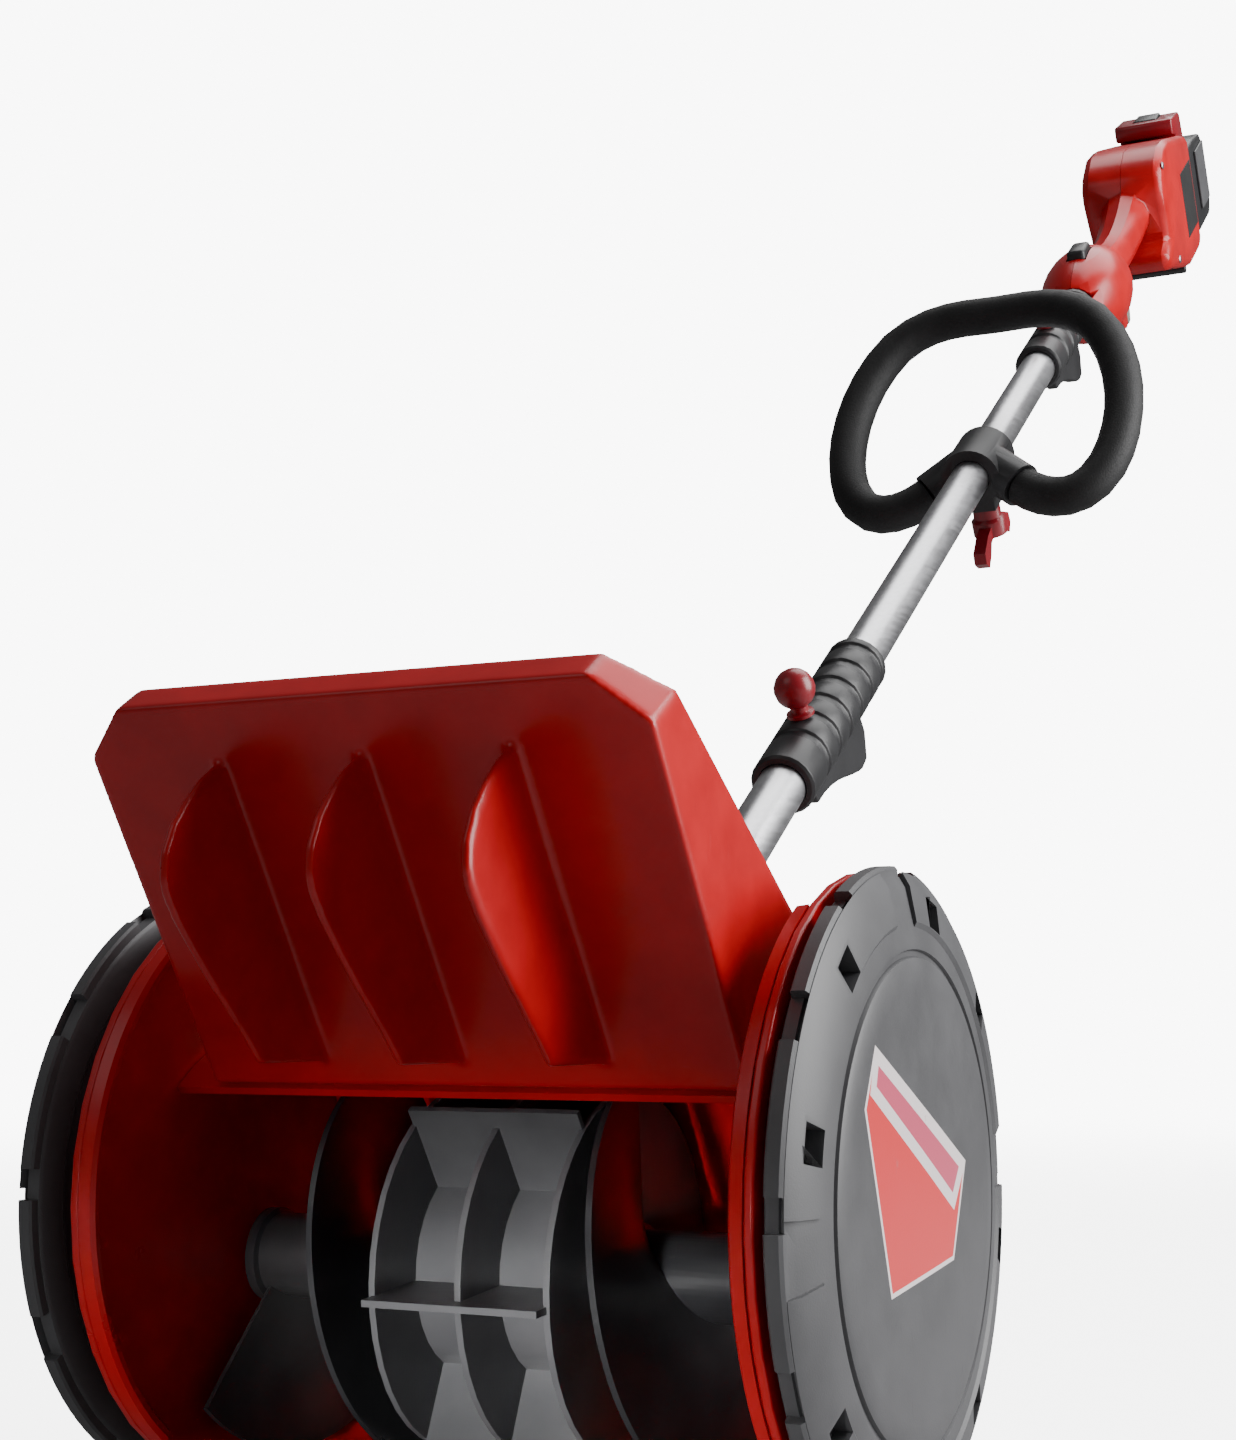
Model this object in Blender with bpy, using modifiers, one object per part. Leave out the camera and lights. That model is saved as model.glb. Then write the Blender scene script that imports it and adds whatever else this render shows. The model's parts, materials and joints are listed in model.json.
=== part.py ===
"""Cordless snow shovel: wheeled auger head, jointed tube shaft, loop handle and battery grip."""
import bpy
import bmesh
from math import atan2, cos, hypot, pi, radians, sin
from mathutils import Matrix, Vector

# ---------------------------------------------------------------- driving dimensions (metres)
CLEAR_WIDTH = 0.254        # between the inner faces of the side plates
WHEEL_DIAMETER = 0.232
GROUND_GAP = 0.006         # side plates and scraper above the ground
PLATE = 0.0036             # side plate thickness
SKIN = 0.0030              # moulded wall thickness
GAP = 0.0003               # between pieces that touch
RUNNING = 0.0010           # clearance of pieces that turn or slide

AUGER_RADIUS = 0.073
AUGER_GROUND = 0.013       # auger's edge above the ground
AUGER_CLEAR = 0.004        # auger to drum wall
SHAFT_RADIUS = 0.006
CORE_RADIUS = 0.016
BEARING_RADIUS = 0.011
PADDLE_WIDTH = 0.072
PADDLE_HUB = 0.038
PADDLE_STEP = 0.007        # discs inside the blades' tips
WEB = 0.0025               # blades, discs and flights
BLADES = 6
FIRST_BLADE = 125.0        # degrees from the back, over the top
FLIGHT_START = 95.0
FLIGHT_SWEEP = 400.0
FLIGHT_STEPS = 36
SCRAPER_HEIGHT = 0.0065
SCRAPER_DEPTH = 0.021

HOOD_LENGTH = 0.1560
HOOD_ANGLE = radians(124.0)
HOOD_INSET = 0.0185        # hood's edge to the side plate's inner face
HOOD_CHAMFER = 0.018
HOOD_DEPTH_LOW = 0.080
HOOD_DEPTH_TOP = 0.016
HOOD_CLEAR = 0.0140        # hood's foot in front of the drum's wall
HOOD_FOOT_ANGLE = radians(131.5)
VANE = 0.0034
VANE_PITCH = 0.0565
VANE_SHIFT = 0.0015
VANE_LOW = 0.010           # along the hood's face, from its foot
VANE_HIGH = 0.134
VANE_PEAK = 0.110
VANE_REACH = 0.051         # out from the hood's face
VANE_TIP = (0.034, 0.036)

MOTOR_RADIUS = 0.019
MOTOR_LENGTH = 0.068
MOTOR_ROOM = 0.016         # motor to drum wall
MOTOR_Z = 0.000
LOBE_WALL = 0.015          # plate's lobe outside the motor
MOTOR_SHAFT_RADIUS = 0.003
PULLEY_RADIUS = 0.033
PINION_RADIUS = 0.0085
BELT_WIDTH = 0.006
BELT = 0.0022
BELT_LIFT = 0.0004         # belt clear of its pulleys
FLANGE = 0.0016
DRIVE_DEPTH = 0.0125       # depth of the drive case on the left side
CASE_WALL = 0.0022
CASE_ROOM = 0.012          # pulley to the outside of the case

WHEEL_WIDTH = 0.0090
WHEEL_PLATE_GAP = 0.002
WHEEL_RIM = 0.018
CAP_RADIUS = 0.0800
CAP_RISE = 0.0070
LUGS = 12
LUG_DEPTH = 0.004
LUG_LONG = 0.86            # share of a lug's pitch
LUG_SHORT = 0.74
AXLE_RADIUS = 0.005
AXLE_COLLAR = 0.012

TUBE_RADIUS = 0.012
TUBE_WALL = 0.0016
TUBE_ANGLE = radians(34.6)
TUBE_DROP = 0.022          # tube's foot in front of the motor
TUBE_LIFT = 0.0333         # tube's foot above the plate's lobe
SOCKET_WALL = 0.0045
SOCKET_LOW = -0.036
SOCKET_HIGH = 0.042
SOCKET_FLOOR = 0.010
COUPLER_LENGTH = 0.133
COUPLER_WALL = 0.0045
COUPLER_RIB = 0.0195       # pitch of the ribs
COUPLER_GROOVE = 0.0072
COUPLER_1 = 0.187          # along the shaft from the tube's foot
CLAMP = 0.605
COUPLER_2 = 0.792
TUBE_END = 0.965
KNOB_RADIUS = 0.0105
KNOB_STEM = 0.0145
KNOB_AT = 0.043            # along the coupler
HOOK_HALF_WIDTH = 0.004

LOOP_RADIUS = 0.0125
LOOP_HALF_WIDTH = 0.088
LOOP_HEIGHT = 0.125
LOOP_TILT = radians(32.0)
LOOP_LEAN = radians(50.0)  # of the loop's two legs, from straight down
LOOP_ROOT = 0.040          # from the clamp's middle to the loop's cut end
LOOP_SOCKET = 0.0018
CLAMP_LENGTH = 0.044
CLAMP_WALL = 0.007
CLAMP_FOOT = 0.007
WING_SPAN = 0.034
WING_HALF_WIDTH = 0.004

GRIP = 1.085               # middle of the grip along the shaft
GRIP_HALF_WIDTH = 0.0165
GRIP_FLARE = 0.35
BULB = (0.975, -0.004)
BULB_SIZE = (0.034, 0.062, 0.035)
BUTTON_AT = -0.004         # along the shaft from the bulb's middle
BUTTON_SIZE = (0.0070, 0.0135)
BUTTON_PROUD = 0.0045
TRIGGER_AT = -0.005        # along the shaft from the grip's middle
TRIGGER_DROP = -0.0085
TRIGGER_HALF_WIDTH = 0.0065
PIN_RADIUS = 0.0015
HOUSING_END = 1.300
HOUSING_HALF_WIDTH = 0.034
HOUSING_LENGTH = 0.130     # its hollow
PANEL_DEPTH = 0.0014
PANEL_LOW = -0.043
PANEL_HIGH = 0.014
PANEL_LENGTH = 0.052
PANEL_BACK = 0.009         # panel's rear edge to the housing's end
HOUSING_EDGE = 0.007
DOCK_HALF_WIDTH = 0.020
DOCK_LOW = -0.046
DOCK_HIGH = 0.026
DOCK_DEPTH = 0.006
BATTERY_DEPTH = 0.076
BATTERY_INSET = 0.0015     # battery's side inside the housing's
BATTERY_TOP = 0.022
BATTERY_FOOT = -0.056
CAP_TOP = 0.050
CAP_LAP = 0.014            # cap over the housing's rear edge
CAP_BACK = 0.030
CAP_HALF_WIDTH = 0.025
LATCH_HALF_WIDTH = 0.010
LATCH_PROUD = 0.0030
BAND = 0.0019
FOOT_RADIUS = 0.004

WHEEL_RADIUS = WHEEL_DIAMETER / 2
HALF = CLEAR_WIDTH / 2
PLATE_OUT = HALF + PLATE
PLATE_FOOT = -WHEEL_RADIUS + GROUND_GAP
PLATE_RADIUS = WHEEL_RADIUS - 0.002
AUGER_DROP = WHEEL_RADIUS - AUGER_RADIUS - AUGER_GROUND
DRUM_RADIUS = AUGER_RADIUS + AUGER_CLEAR
DRUM_CENTRE = (0.0, -AUGER_DROP)
PADDLE_DISC = AUGER_RADIUS - PADDLE_STEP
AUGER_AXIS = Vector((0.0, 0.0, -AUGER_DROP))
HOOD_HALF_WIDTH = HALF - HOOD_INSET
HOOD_RADIUS = DRUM_RADIUS + HOOD_CLEAR
HOOD_FOOT = AUGER_AXIS + Vector((0.0, cos(HOOD_FOOT_ANGLE), sin(HOOD_FOOT_ANGLE))) * HOOD_RADIUS
VANE_X = [VANE_SHIFT + (k - 1) * VANE_PITCH for k in range(3)]
LOBE_RADIUS = MOTOR_RADIUS + LOBE_WALL
MOTOR_Y = DRUM_RADIUS + MOTOR_RADIUS + MOTOR_ROOM
MOTOR_AXIS = Vector((0.0, MOTOR_Y, MOTOR_Z))
DRIVE_X = -(PLATE_OUT + (DRIVE_DEPTH - CASE_WALL) / 2)
TUBE_FOOT = Vector((0.0, MOTOR_Y - TUBE_DROP, LOBE_RADIUS + TUBE_LIFT))
TUBE_BORE = TUBE_RADIUS - TUBE_WALL
SOCKET_RADIUS = TUBE_RADIUS + SOCKET_WALL
COUPLER_RADIUS = TUBE_RADIUS + COUPLER_WALL
CLAMP_RADIUS = TUBE_RADIUS + CLAMP_WALL
BATTERY_HALF_WIDTH = HOUSING_HALF_WIDTH - BATTERY_INSET

# ---------------------------------------------------------------- scene and materials
for old in list(bpy.data.objects):
    bpy.data.objects.remove(old, do_unlink=True)

shovel = bpy.data.collections.new("snow_shovel")
cutters = bpy.data.collections.new("cutters")
bpy.context.scene.collection.children.link(shovel)
bpy.context.scene.collection.children.link(cutters)


def material(name, colour, roughness, metallic=0.0):
    made = bpy.data.materials.new(name)
    made.use_nodes = True
    shader = made.node_tree.nodes["Principled BSDF"]
    shader.inputs["Base Color"].default_value = (*colour, 1.0)
    shader.inputs["Roughness"].default_value = roughness
    shader.inputs["Metallic"].default_value = metallic
    made.diffuse_color = (*colour, 1.0)
    return made


RED = material("red_plastic", (0.50, 0.010, 0.018), 0.35)
DARK_RED = material("dark_red_plastic", (0.22, 0.006, 0.016), 0.4)
BLACK = material("black_plastic", (0.018, 0.018, 0.020), 0.5)
GREY = material("dark_grey_plastic", (0.085, 0.085, 0.09), 0.55)
TRIGGER_GREY = material("trigger_grey", (0.17, 0.17, 0.155), 0.5)
ALUMINIUM = material("satin_aluminium", (0.62, 0.62, 0.64), 0.3, 1.0)
STEEL = material("steel", (0.45, 0.45, 0.47), 0.35, 1.0)
RUBBER = material("belt_rubber", (0.012, 0.012, 0.012), 0.8)


def empty(name, location=(0, 0, 0), parent=None, turn=0.0):
    made = bpy.data.objects.new(name, None)
    made.location = location
    made.rotation_euler.x = turn
    made.parent = parent
    shovel.objects.link(made)
    return made


GRIP_POINT = TUBE_FOOT + Vector((0.0, cos(TUBE_ANGLE), sin(TUBE_ANGLE))) * GRIP
machine = empty("machine", -GRIP_POINT)
shaft = empty("shaft", TUBE_FOOT, machine, TUBE_ANGLE)


# ---------------------------------------------------------------- modelling helpers
def place(made, paint, parent, location=(0, 0, 0), rotation=(0, 0, 0)):
    made.parent = parent
    made.location = location
    made.rotation_euler = rotation
    if paint is None:
        cutters.objects.link(made)
        made.hide_render = True
        made.display_type = "WIRE"
    else:
        shovel.objects.link(made)
        made.data.materials.append(paint)
    return made


def from_bmesh(name, work, paint, parent, location=(0, 0, 0), rotation=(0, 0, 0), smooth=True):
    bmesh.ops.recalc_face_normals(work, faces=work.faces)
    mesh = bpy.data.meshes.new(name)
    work.to_mesh(mesh)
    work.free()
    if smooth:
        mesh.shade_smooth()
        mesh.set_sharp_from_angle(angle=radians(35))
    return place(bpy.data.objects.new(name, mesh), paint, parent, location, rotation)


def box(name, low, high, paint, parent, bevel=0.0):
    """A box between two corners, given in its parent's frame."""
    low, high = Vector(low), Vector(high)
    work = bmesh.new()
    bmesh.ops.create_cube(work, size=1.0)
    bmesh.ops.scale(work, vec=high - low, verts=work.verts)
    made = from_bmesh(name, work, paint, parent, (low + high) / 2, smooth=False)
    if bevel:
        rounded(made, bevel)
    return made


def rounded(made, width, segments=2, angle=35.0):
    bevel = made.modifiers.new("edges", "BEVEL")
    bevel.width = width
    bevel.segments = segments
    bevel.limit_method = "ANGLE"
    bevel.angle_limit = radians(angle)
    return made


def rod(name, radius, length, paint, parent, location=(0, 0, 0), axis="X", sides=32, top=None):
    """A cylinder (or cone) centred on its location; axis X, Y or Z of its parent."""
    work = bmesh.new()
    bmesh.ops.create_cone(work, cap_ends=True, segments=sides, radius1=radius,
                          radius2=radius if top is None else top, depth=length)
    turn = {"X": (0, pi / 2, 0), "Y": (-pi / 2, 0, 0), "Z": (0, 0, 0)}[axis]
    return from_bmesh(name, work, paint, parent, location, turn)


def turned(name, profile, paint, parent, location=(0, 0, 0), axis="X", steps=32):
    """A turned piece: profile of (radius, height) down its outer side, height along the axis."""
    work = bmesh.new()
    points = [work.verts.new((r, 0, h)) for r, h in profile]
    for a, b in zip(points, points[1:]):
        work.edges.new((a, b))
    if profile[0][0] > 0 or profile[-1][0] > 0:
        work.edges.new((points[-1], points[0]))
    mesh = bpy.data.meshes.new(name)
    work.to_mesh(mesh)
    work.free()
    turn = {"X": (0, pi / 2, 0), "Y": (-pi / 2, 0, 0), "Z": (0, 0, 0)}[axis]
    made = place(bpy.data.objects.new(name, mesh), paint, parent, location, turn)
    screw = made.modifiers.new("turn", "SCREW")
    screw.steps = steps
    screw.render_steps = steps
    screw.use_merge_vertices = True
    screw.merge_threshold = 0.00001
    screw.use_smooth_shade = True
    return made


def slab(name, outline, low, high, paint, parent, plane="YZ", location=(0, 0, 0)):
    """A flat outline made thick along the third axis, from low to high."""
    lay = {"YZ": lambda a, b, c: (c, a, b), "XY": lambda a, b, c: (a, b, c)}[plane]
    work = bmesh.new()
    face = work.faces.new([work.verts.new(lay(a, b, low)) for a, b in outline])
    grown = bmesh.ops.extrude_face_region(work, geom=[face])["geom"]
    step = Vector(lay(0, 0, high - low))
    bmesh.ops.translate(work, vec=step, verts=[v for v in grown if isinstance(v, bmesh.types.BMVert)])
    return from_bmesh(name, work, paint, parent, location, smooth=False)


def pipe(name, points, radius, paint, parent, resolution=4, location=(0, 0, 0), rotation=(0, 0, 0)):
    """A round bar along a smooth path."""
    curve = bpy.data.curves.new(name, "CURVE")
    curve.dimensions = "3D"
    curve.bevel_depth = radius
    curve.bevel_resolution = resolution
    curve.use_fill_caps = True
    line = curve.splines.new("POLY")
    line.points.add(len(points) - 1)
    for point, where in zip(line.points, points):
        point.co = (*where, 1.0)
    return place(bpy.data.objects.new(name, curve), paint, parent, location, rotation)


def sheet(name, path, half_width, thickness, paint, parent):
    """A sheet that follows a path in the YZ plane, thickened to the path's right."""
    work = bmesh.new()
    left = [work.verts.new((-half_width, y, z)) for y, z in path]
    right = [work.verts.new((half_width, y, z)) for y, z in path]
    for a, b, c, d in zip(left, left[1:], right[1:], right):
        work.faces.new((a, b, c, d))
    mesh = bpy.data.meshes.new(name)
    work.to_mesh(mesh)
    work.free()
    mesh.shade_smooth()
    made = place(bpy.data.objects.new(name, mesh), paint, parent)
    skin = made.modifiers.new("skin", "SOLIDIFY")
    skin.thickness = thickness
    skin.offset = 1.0
    skin.use_even_offset = True
    return made


def boolean(made, tool, operation="DIFFERENCE"):
    cut = made.modifiers.new(tool.name, "BOOLEAN")
    cut.operation = operation
    cut.object = tool
    cut.solver = "EXACT"
    return made


def arc(centre, radius, start, end, count):
    """Points (a, b) on an arc, angles in degrees."""
    for k in range(count + 1):
        angle = radians(start + (end - start) * k / count)
        yield centre[0] + radius * cos(angle), centre[1] + radius * sin(angle)


def bezier(a, b, c, d, count):
    for k in range(count + 1):
        t = k / count
        w = ((1 - t) ** 3, 3 * t * (1 - t) ** 2, 3 * t * t * (1 - t), t ** 3)
        yield tuple(w[0] * p + w[1] * q + w[2] * r + w[3] * s for p, q, r, s in zip(a, b, c, d))


# ---------------------------------------------------------------- auger head: plates, drum, hood
def side_outline():
    """Round plate with a flat foot and a rear lobe round the motor."""
    reach = hypot(MOTOR_Y, MOTOR_Z)
    lean = atan2(MOTOR_Z, MOTOR_Y) * 180 / pi
    spread = 90 - atan2(PLATE_RADIUS - LOBE_RADIUS, reach) * 180 / pi
    foot = 180 / pi * atan2(-PLATE_FOOT, (PLATE_RADIUS ** 2 - PLATE_FOOT ** 2) ** 0.5)
    yield from arc((MOTOR_Y, MOTOR_Z), LOBE_RADIUS, lean - spread, lean + spread, 10)
    yield from arc((0, 0), PLATE_RADIUS, lean + spread, 180 + foot, 22)
    yield -PLATE_RADIUS * cos(radians(foot)), PLATE_FOOT
    yield 0.020, PLATE_FOOT


def side_plates():
    for side, name in ((1, "right"), (-1, "left")):
        low, high = sorted((side * HALF, side * PLATE_OUT))
        points = []
        for point in side_outline():
            if not points or hypot(point[0] - points[-1][0], point[1] - points[-1][1]) > 0.0005:
                points.append(point)
        plate = slab("side_plate_" + name, points, low, high, RED, machine)
        hole = rod("bearing_hole_" + name, BEARING_RADIUS + GAP, 0.02, None, machine,
                   (side * HALF, 0, -AUGER_DROP))
        boolean(plate, hole)
        if side < 0:
            hole = rod("motor_hole", MOTOR_SHAFT_RADIUS + 0.005, 0.02, None, machine,
                       (side * HALF, MOTOR_Y, MOTOR_Z), sides=24)
            boolean(plate, hole)


def drum_path():
    """From the hood's foot over the top and down the back to the scraper."""
    start = HOOD_FOOT_ANGLE * 180 / pi
    yield from arc(DRUM_CENTRE, HOOD_RADIUS - SKIN - 0.002, start, 62, 9)
    yield from arc(DRUM_CENTRE, DRUM_RADIUS, 15, -84, 13)
    yield -0.040, PLATE_FOOT + SKIN + 0.0015


def drum():
    path = list(drum_path())
    sheet("drum_shell", path[::-1], HALF - GAP, SKIN, RED, machine)
    lip = path[-1]
    back = lip[0] - 4 * GAP
    low = PLATE_FOOT - RUNNING
    box("scraper_blade", (-HALF + GAP, back - SCRAPER_DEPTH, low),
        (HALF - GAP, back, low + SCRAPER_HEIGHT), BLACK, machine, 0.0008)


def hood():
    """A tray that leans forward, with walls that stand behind it."""
    frame = empty("hood_frame", HOOD_FOOT, machine, HOOD_ANGLE)

    def tray(name, inset, floor, paint, spare):
        w, length, c = HOOD_HALF_WIDTH - inset, HOOD_LENGTH - inset, HOOD_CHAMFER - inset * 0.4
        outline = [(-w, inset), (w, inset), (w, length - c), (w - c, length)]
        outline += [(c - w, length), (-w, length - c)]
        made = slab(name, outline, floor, 1.0, paint, frame, plane="XY")
        for vert in made.data.vertices:
            if vert.co.z > 0.5:
                share = vert.co.y / HOOD_LENGTH
                vert.co.z = HOOD_DEPTH_LOW * (1 - share) + HOOD_DEPTH_TOP * share + spare
        return made
    plate = tray("hood", 0.0, 0.0, RED, 0.0)
    inside = tray("hood_inside", SKIN, SKIN, None, 0.01)
    for made in (plate, inside):
        made.data.transform(Matrix.Scale(-1, 4, (0, 0, 1)))
        made.data.flip_normals()
    boolean(plate, inside)


def vane_outline():
    """Fin in the YZ plane: foot on the hood's face, bulging free edge that runs down to a tip."""
    along = Vector((cos(HOOD_ANGLE), sin(HOOD_ANGLE)))
    face = Vector((-sin(HOOD_ANGLE), cos(HOOD_ANGLE)))
    foot = Vector((HOOD_FOOT.y, HOOD_FOOT.z)) + face * GAP
    edge = list(bezier((VANE_HIGH, 0.0), (VANE_HIGH + 0.002, VANE_REACH * 0.5),
                       (VANE_PEAK + 0.016, VANE_REACH), (VANE_PEAK, VANE_REACH), 6))
    edge += list(bezier((VANE_PEAK, VANE_REACH), (VANE_PEAK - 0.022, VANE_REACH),
                        (VANE_TIP[0] + 0.020, VANE_TIP[1] + 0.003), VANE_TIP, 6))[1:]
    yield tuple(foot + along * VANE_LOW)
    for up, out in edge:
        yield tuple(foot + along * up + face * out)


def vanes():
    for k, x in enumerate(VANE_X):
        slab(f"hood_vane_{k + 1}", list(vane_outline()), x - VANE / 2, x + VANE / 2, RED, machine)


# ---------------------------------------------------------------- auger
def ring_profile(outer, inner, length):
    return [(inner, length / 2), (outer, length / 2), (outer, -length / 2), (inner, -length / 2)]


def paddle_outline():
    """Hub with flat radial blades, in the YZ plane."""
    side = WEB / 2
    root = (PADDLE_HUB ** 2 - side ** 2) ** 0.5
    spread = atan2(side, root) * 180 / pi
    pitch = 360 / BLADES
    for k in range(BLADES):
        at = FIRST_BLADE + k * pitch
        out = Vector((cos(radians(at)), sin(radians(at))))
        across = Vector((-out.y, out.x))
        for reach, off in ((root, -side), (AUGER_RADIUS, -side), (AUGER_RADIUS, side), (root, side)):
            yield tuple(out * reach + across * off)
        yield from list(arc((0, 0), PADDLE_HUB, at + spread, at + pitch - spread, 5))[1:-1]


def paddle_wheel():
    """Moulded centre of the auger: a hub with radial blades and three discs across them."""
    spin = empty("auger_spin", AUGER_AXIS, machine)
    reach = PADDLE_WIDTH / 2 - WEB / 2
    wheel = slab("auger_paddles", list(paddle_outline()), -reach, reach, BLACK, spin)
    for k in range(3):
        disc = rod(f"paddle_disc_{k + 1}", PADDLE_DISC, WEB, None, spin, ((k - 1) * reach, 0, 0), sides=40)
        boolean(wheel, disc, "UNION")
    boolean(wheel, rod("paddle_bore", SHAFT_RADIUS + GAP, 2 * PADDLE_WIDTH, None, spin, sides=24))
    return spin


def flight(name, side, spin):
    """One helical flight on its own core, winding towards the paddles."""
    inner = CORE_RADIUS - SKIN
    begin, end = PADDLE_WIDTH / 2 + GAP + 0.002, HALF - 0.010
    work = bmesh.new()
    rows = []
    for k in range(FLIGHT_STEPS + 1):
        share = k / FLIGHT_STEPS
        turn = radians(FLIGHT_START + FLIGHT_SWEEP * share) * side
        x = side * (begin + (end - begin) * share)
        rows.append([work.verts.new((x, r * cos(turn), r * sin(turn))) for r in (inner, AUGER_RADIUS)])
    for a, b in zip(rows, rows[1:]):
        work.faces.new((a[0], a[1], b[1], b[0]))
    ribbon = from_bmesh(name + "_ribbon", work, None, spin)
    skin = ribbon.modifiers.new("skin", "SOLIDIFY")
    skin.thickness = WEB
    skin.offset = 0.0
    core_low = PADDLE_WIDTH / 2 + GAP
    core_high = HALF - 0.004
    core = turned(name, ring_profile(CORE_RADIUS, SHAFT_RADIUS + GAP, core_high - core_low), BLACK, spin,
                  (side * (core_low + core_high) / 2, 0, 0))
    boolean(core, ribbon, "UNION")


def auger():
    spin = paddle_wheel()
    flight("auger_flight_right", 1, spin)
    flight("auger_flight_left", -1, spin)
    low = -(PLATE_OUT + DRIVE_DEPTH - CASE_WALL - RUNNING)
    high = PLATE_OUT - 2 * GAP
    rod("auger_shaft", SHAFT_RADIUS, high - low, STEEL, spin, ((low + high) / 2, 0, 0), sides=24)
    for side, name in ((1, "right"), (-1, "left")):
        turned("auger_bearing_" + name, ring_profile(BEARING_RADIUS, SHAFT_RADIUS + GAP, PLATE), STEEL,
               machine, (side * (HALF + PLATE / 2), 0, -AUGER_DROP), steps=24)
    return spin


# ---------------------------------------------------------------- rear cover, motor and belt drive
def rear_cover():
    """Cover over the motor, from the drum's back round to its underside."""
    inset = LOBE_RADIUS - SKIN - 0.001
    lean = atan2(MOTOR_Z, MOTOR_Y) * 180 / pi
    path = [(MOTOR_Y - 0.0735, LOBE_RADIUS + 0.045)]
    path += arc((MOTOR_Y, MOTOR_Z), inset, lean + 62, lean - 80, 12)
    path += arc(DRUM_CENTRE, DRUM_RADIUS + 2 * SKIN + 0.002, -38, -42, 1)
    cover = sheet("rear_cover", path, HALF - GAP, SKIN, RED, machine)
    hole = rod("socket_hole", SOCKET_RADIUS + GAP, 0.12, None, shaft, (0, 0, 0), axis="Y", sides=40)
    boolean(cover, hole)


def motor():
    spin = empty("motor_spin", MOTOR_AXIS, machine)
    inner = -HALF + 0.006
    middle = inner + MOTOR_LENGTH / 2
    bore = MOTOR_SHAFT_RADIUS + RUNNING
    profile = [(bore, 0.5), (MOTOR_RADIUS - 0.002, 0.5), (MOTOR_RADIUS, 0.47), (MOTOR_RADIUS, -0.47),
               (MOTOR_RADIUS - 0.002, -0.5), (bore, -0.5)]
    turned("motor_can", [(r, h * MOTOR_LENGTH) for r, h in profile], STEEL, machine,
           (middle, MOTOR_Y, MOTOR_Z))
    low = -(PLATE_OUT + DRIVE_DEPTH - CASE_WALL - 2 * RUNNING)
    high = inner + MOTOR_LENGTH + 0.006
    rod("motor_shaft", MOTOR_SHAFT_RADIUS, high - low, STEEL, spin, ((low + high) / 2, 0, 0), sides=16)
    box("motor_cradle", (inner + 0.004, MOTOR_Y - 0.010, MOTOR_Z - LOBE_RADIUS + 2 * SKIN + 0.0035),
        (inner + MOTOR_LENGTH - 0.004, MOTOR_Y + 0.010, MOTOR_Z - MOTOR_RADIUS - GAP), BLACK, machine)
    return spin


def pulley(name, radius, bore, spin, x):
    flange = radius + BELT + 2 * GAP
    half = BELT_WIDTH / 2
    profile = [(bore, half + FLANGE), (flange, half + FLANGE), (radius, half + GAP), (radius, -half - GAP),
               (flange, -half - FLANGE), (bore, -half - FLANGE)]
    turned(name, profile, GREY, spin, (x, 0, 0), steps=32)


def belt(x):
    """A closed band round both pulleys, lifted clear of them."""
    span = hypot(MOTOR_AXIS.y - AUGER_AXIS.y, MOTOR_AXIS.z - AUGER_AXIS.z)
    lean = atan2(MOTOR_AXIS.z - AUGER_AXIS.z, MOTOR_AXIS.y - AUGER_AXIS.y) * 180 / pi
    spread = 90 - atan2(PULLEY_RADIUS - PINION_RADIUS, span) * 180 / pi

    def loop(extra):
        big, small = PULLEY_RADIUS + extra, PINION_RADIUS + extra
        yield from arc((MOTOR_Y, MOTOR_Z), small, lean - spread, lean + spread, 14)
        yield from arc((0, -AUGER_DROP), big, lean + spread, lean + 360 - spread, 30)
    half = BELT_WIDTH / 2 - BELT_LIFT
    band = slab("drive_belt", list(loop(BELT_LIFT + BELT)), x - half, x + half, RUBBER, machine)
    hollow = slab("belt_hollow", list(loop(BELT_LIFT)), x - BELT_WIDTH, x + BELT_WIDTH, None, machine)
    boolean(band, hollow)


def drive_case():
    """Cup over the belt, standing on the left side plate."""
    def loop(extra):
        span = hypot(MOTOR_AXIS.y, MOTOR_AXIS.z + AUGER_DROP)
        lean = atan2(MOTOR_AXIS.z + AUGER_DROP, MOTOR_AXIS.y) * 180 / pi
        big, small = PULLEY_RADIUS + CASE_ROOM + extra, PINION_RADIUS + CASE_ROOM - 0.002 + extra
        spread = 90 - atan2(big - small, span) * 180 / pi
        yield from arc((MOTOR_Y, MOTOR_Z), small, lean - spread, lean + spread, 12)
        yield from arc((0, -AUGER_DROP), big, lean + spread, lean + 360 - spread, 26)
    outer = -(PLATE_OUT + DRIVE_DEPTH)
    case = slab("drive_case", list(loop(0.0)), outer, -PLATE_OUT - GAP, BLACK, machine)
    rounded(case, 0.0012, 2, 50)
    hollow = slab("drive_hollow", list(loop(-CASE_WALL)), outer + CASE_WALL, 0.0, None, machine)
    boolean(case, hollow)


# ---------------------------------------------------------------- wheels
def tread_outline():
    edge = 0.6
    for k in range(LUGS):
        pitch = 360 / LUGS
        block = LUG_LONG if k % 2 else LUG_SHORT
        start = k * pitch
        notch = start + pitch * block
        yield from arc((0, 0), WHEEL_RADIUS, start + edge, notch - edge, 3)
        yield from arc((0, 0), WHEEL_RADIUS - LUG_DEPTH, notch + edge, start + pitch - edge, 1)


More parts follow.
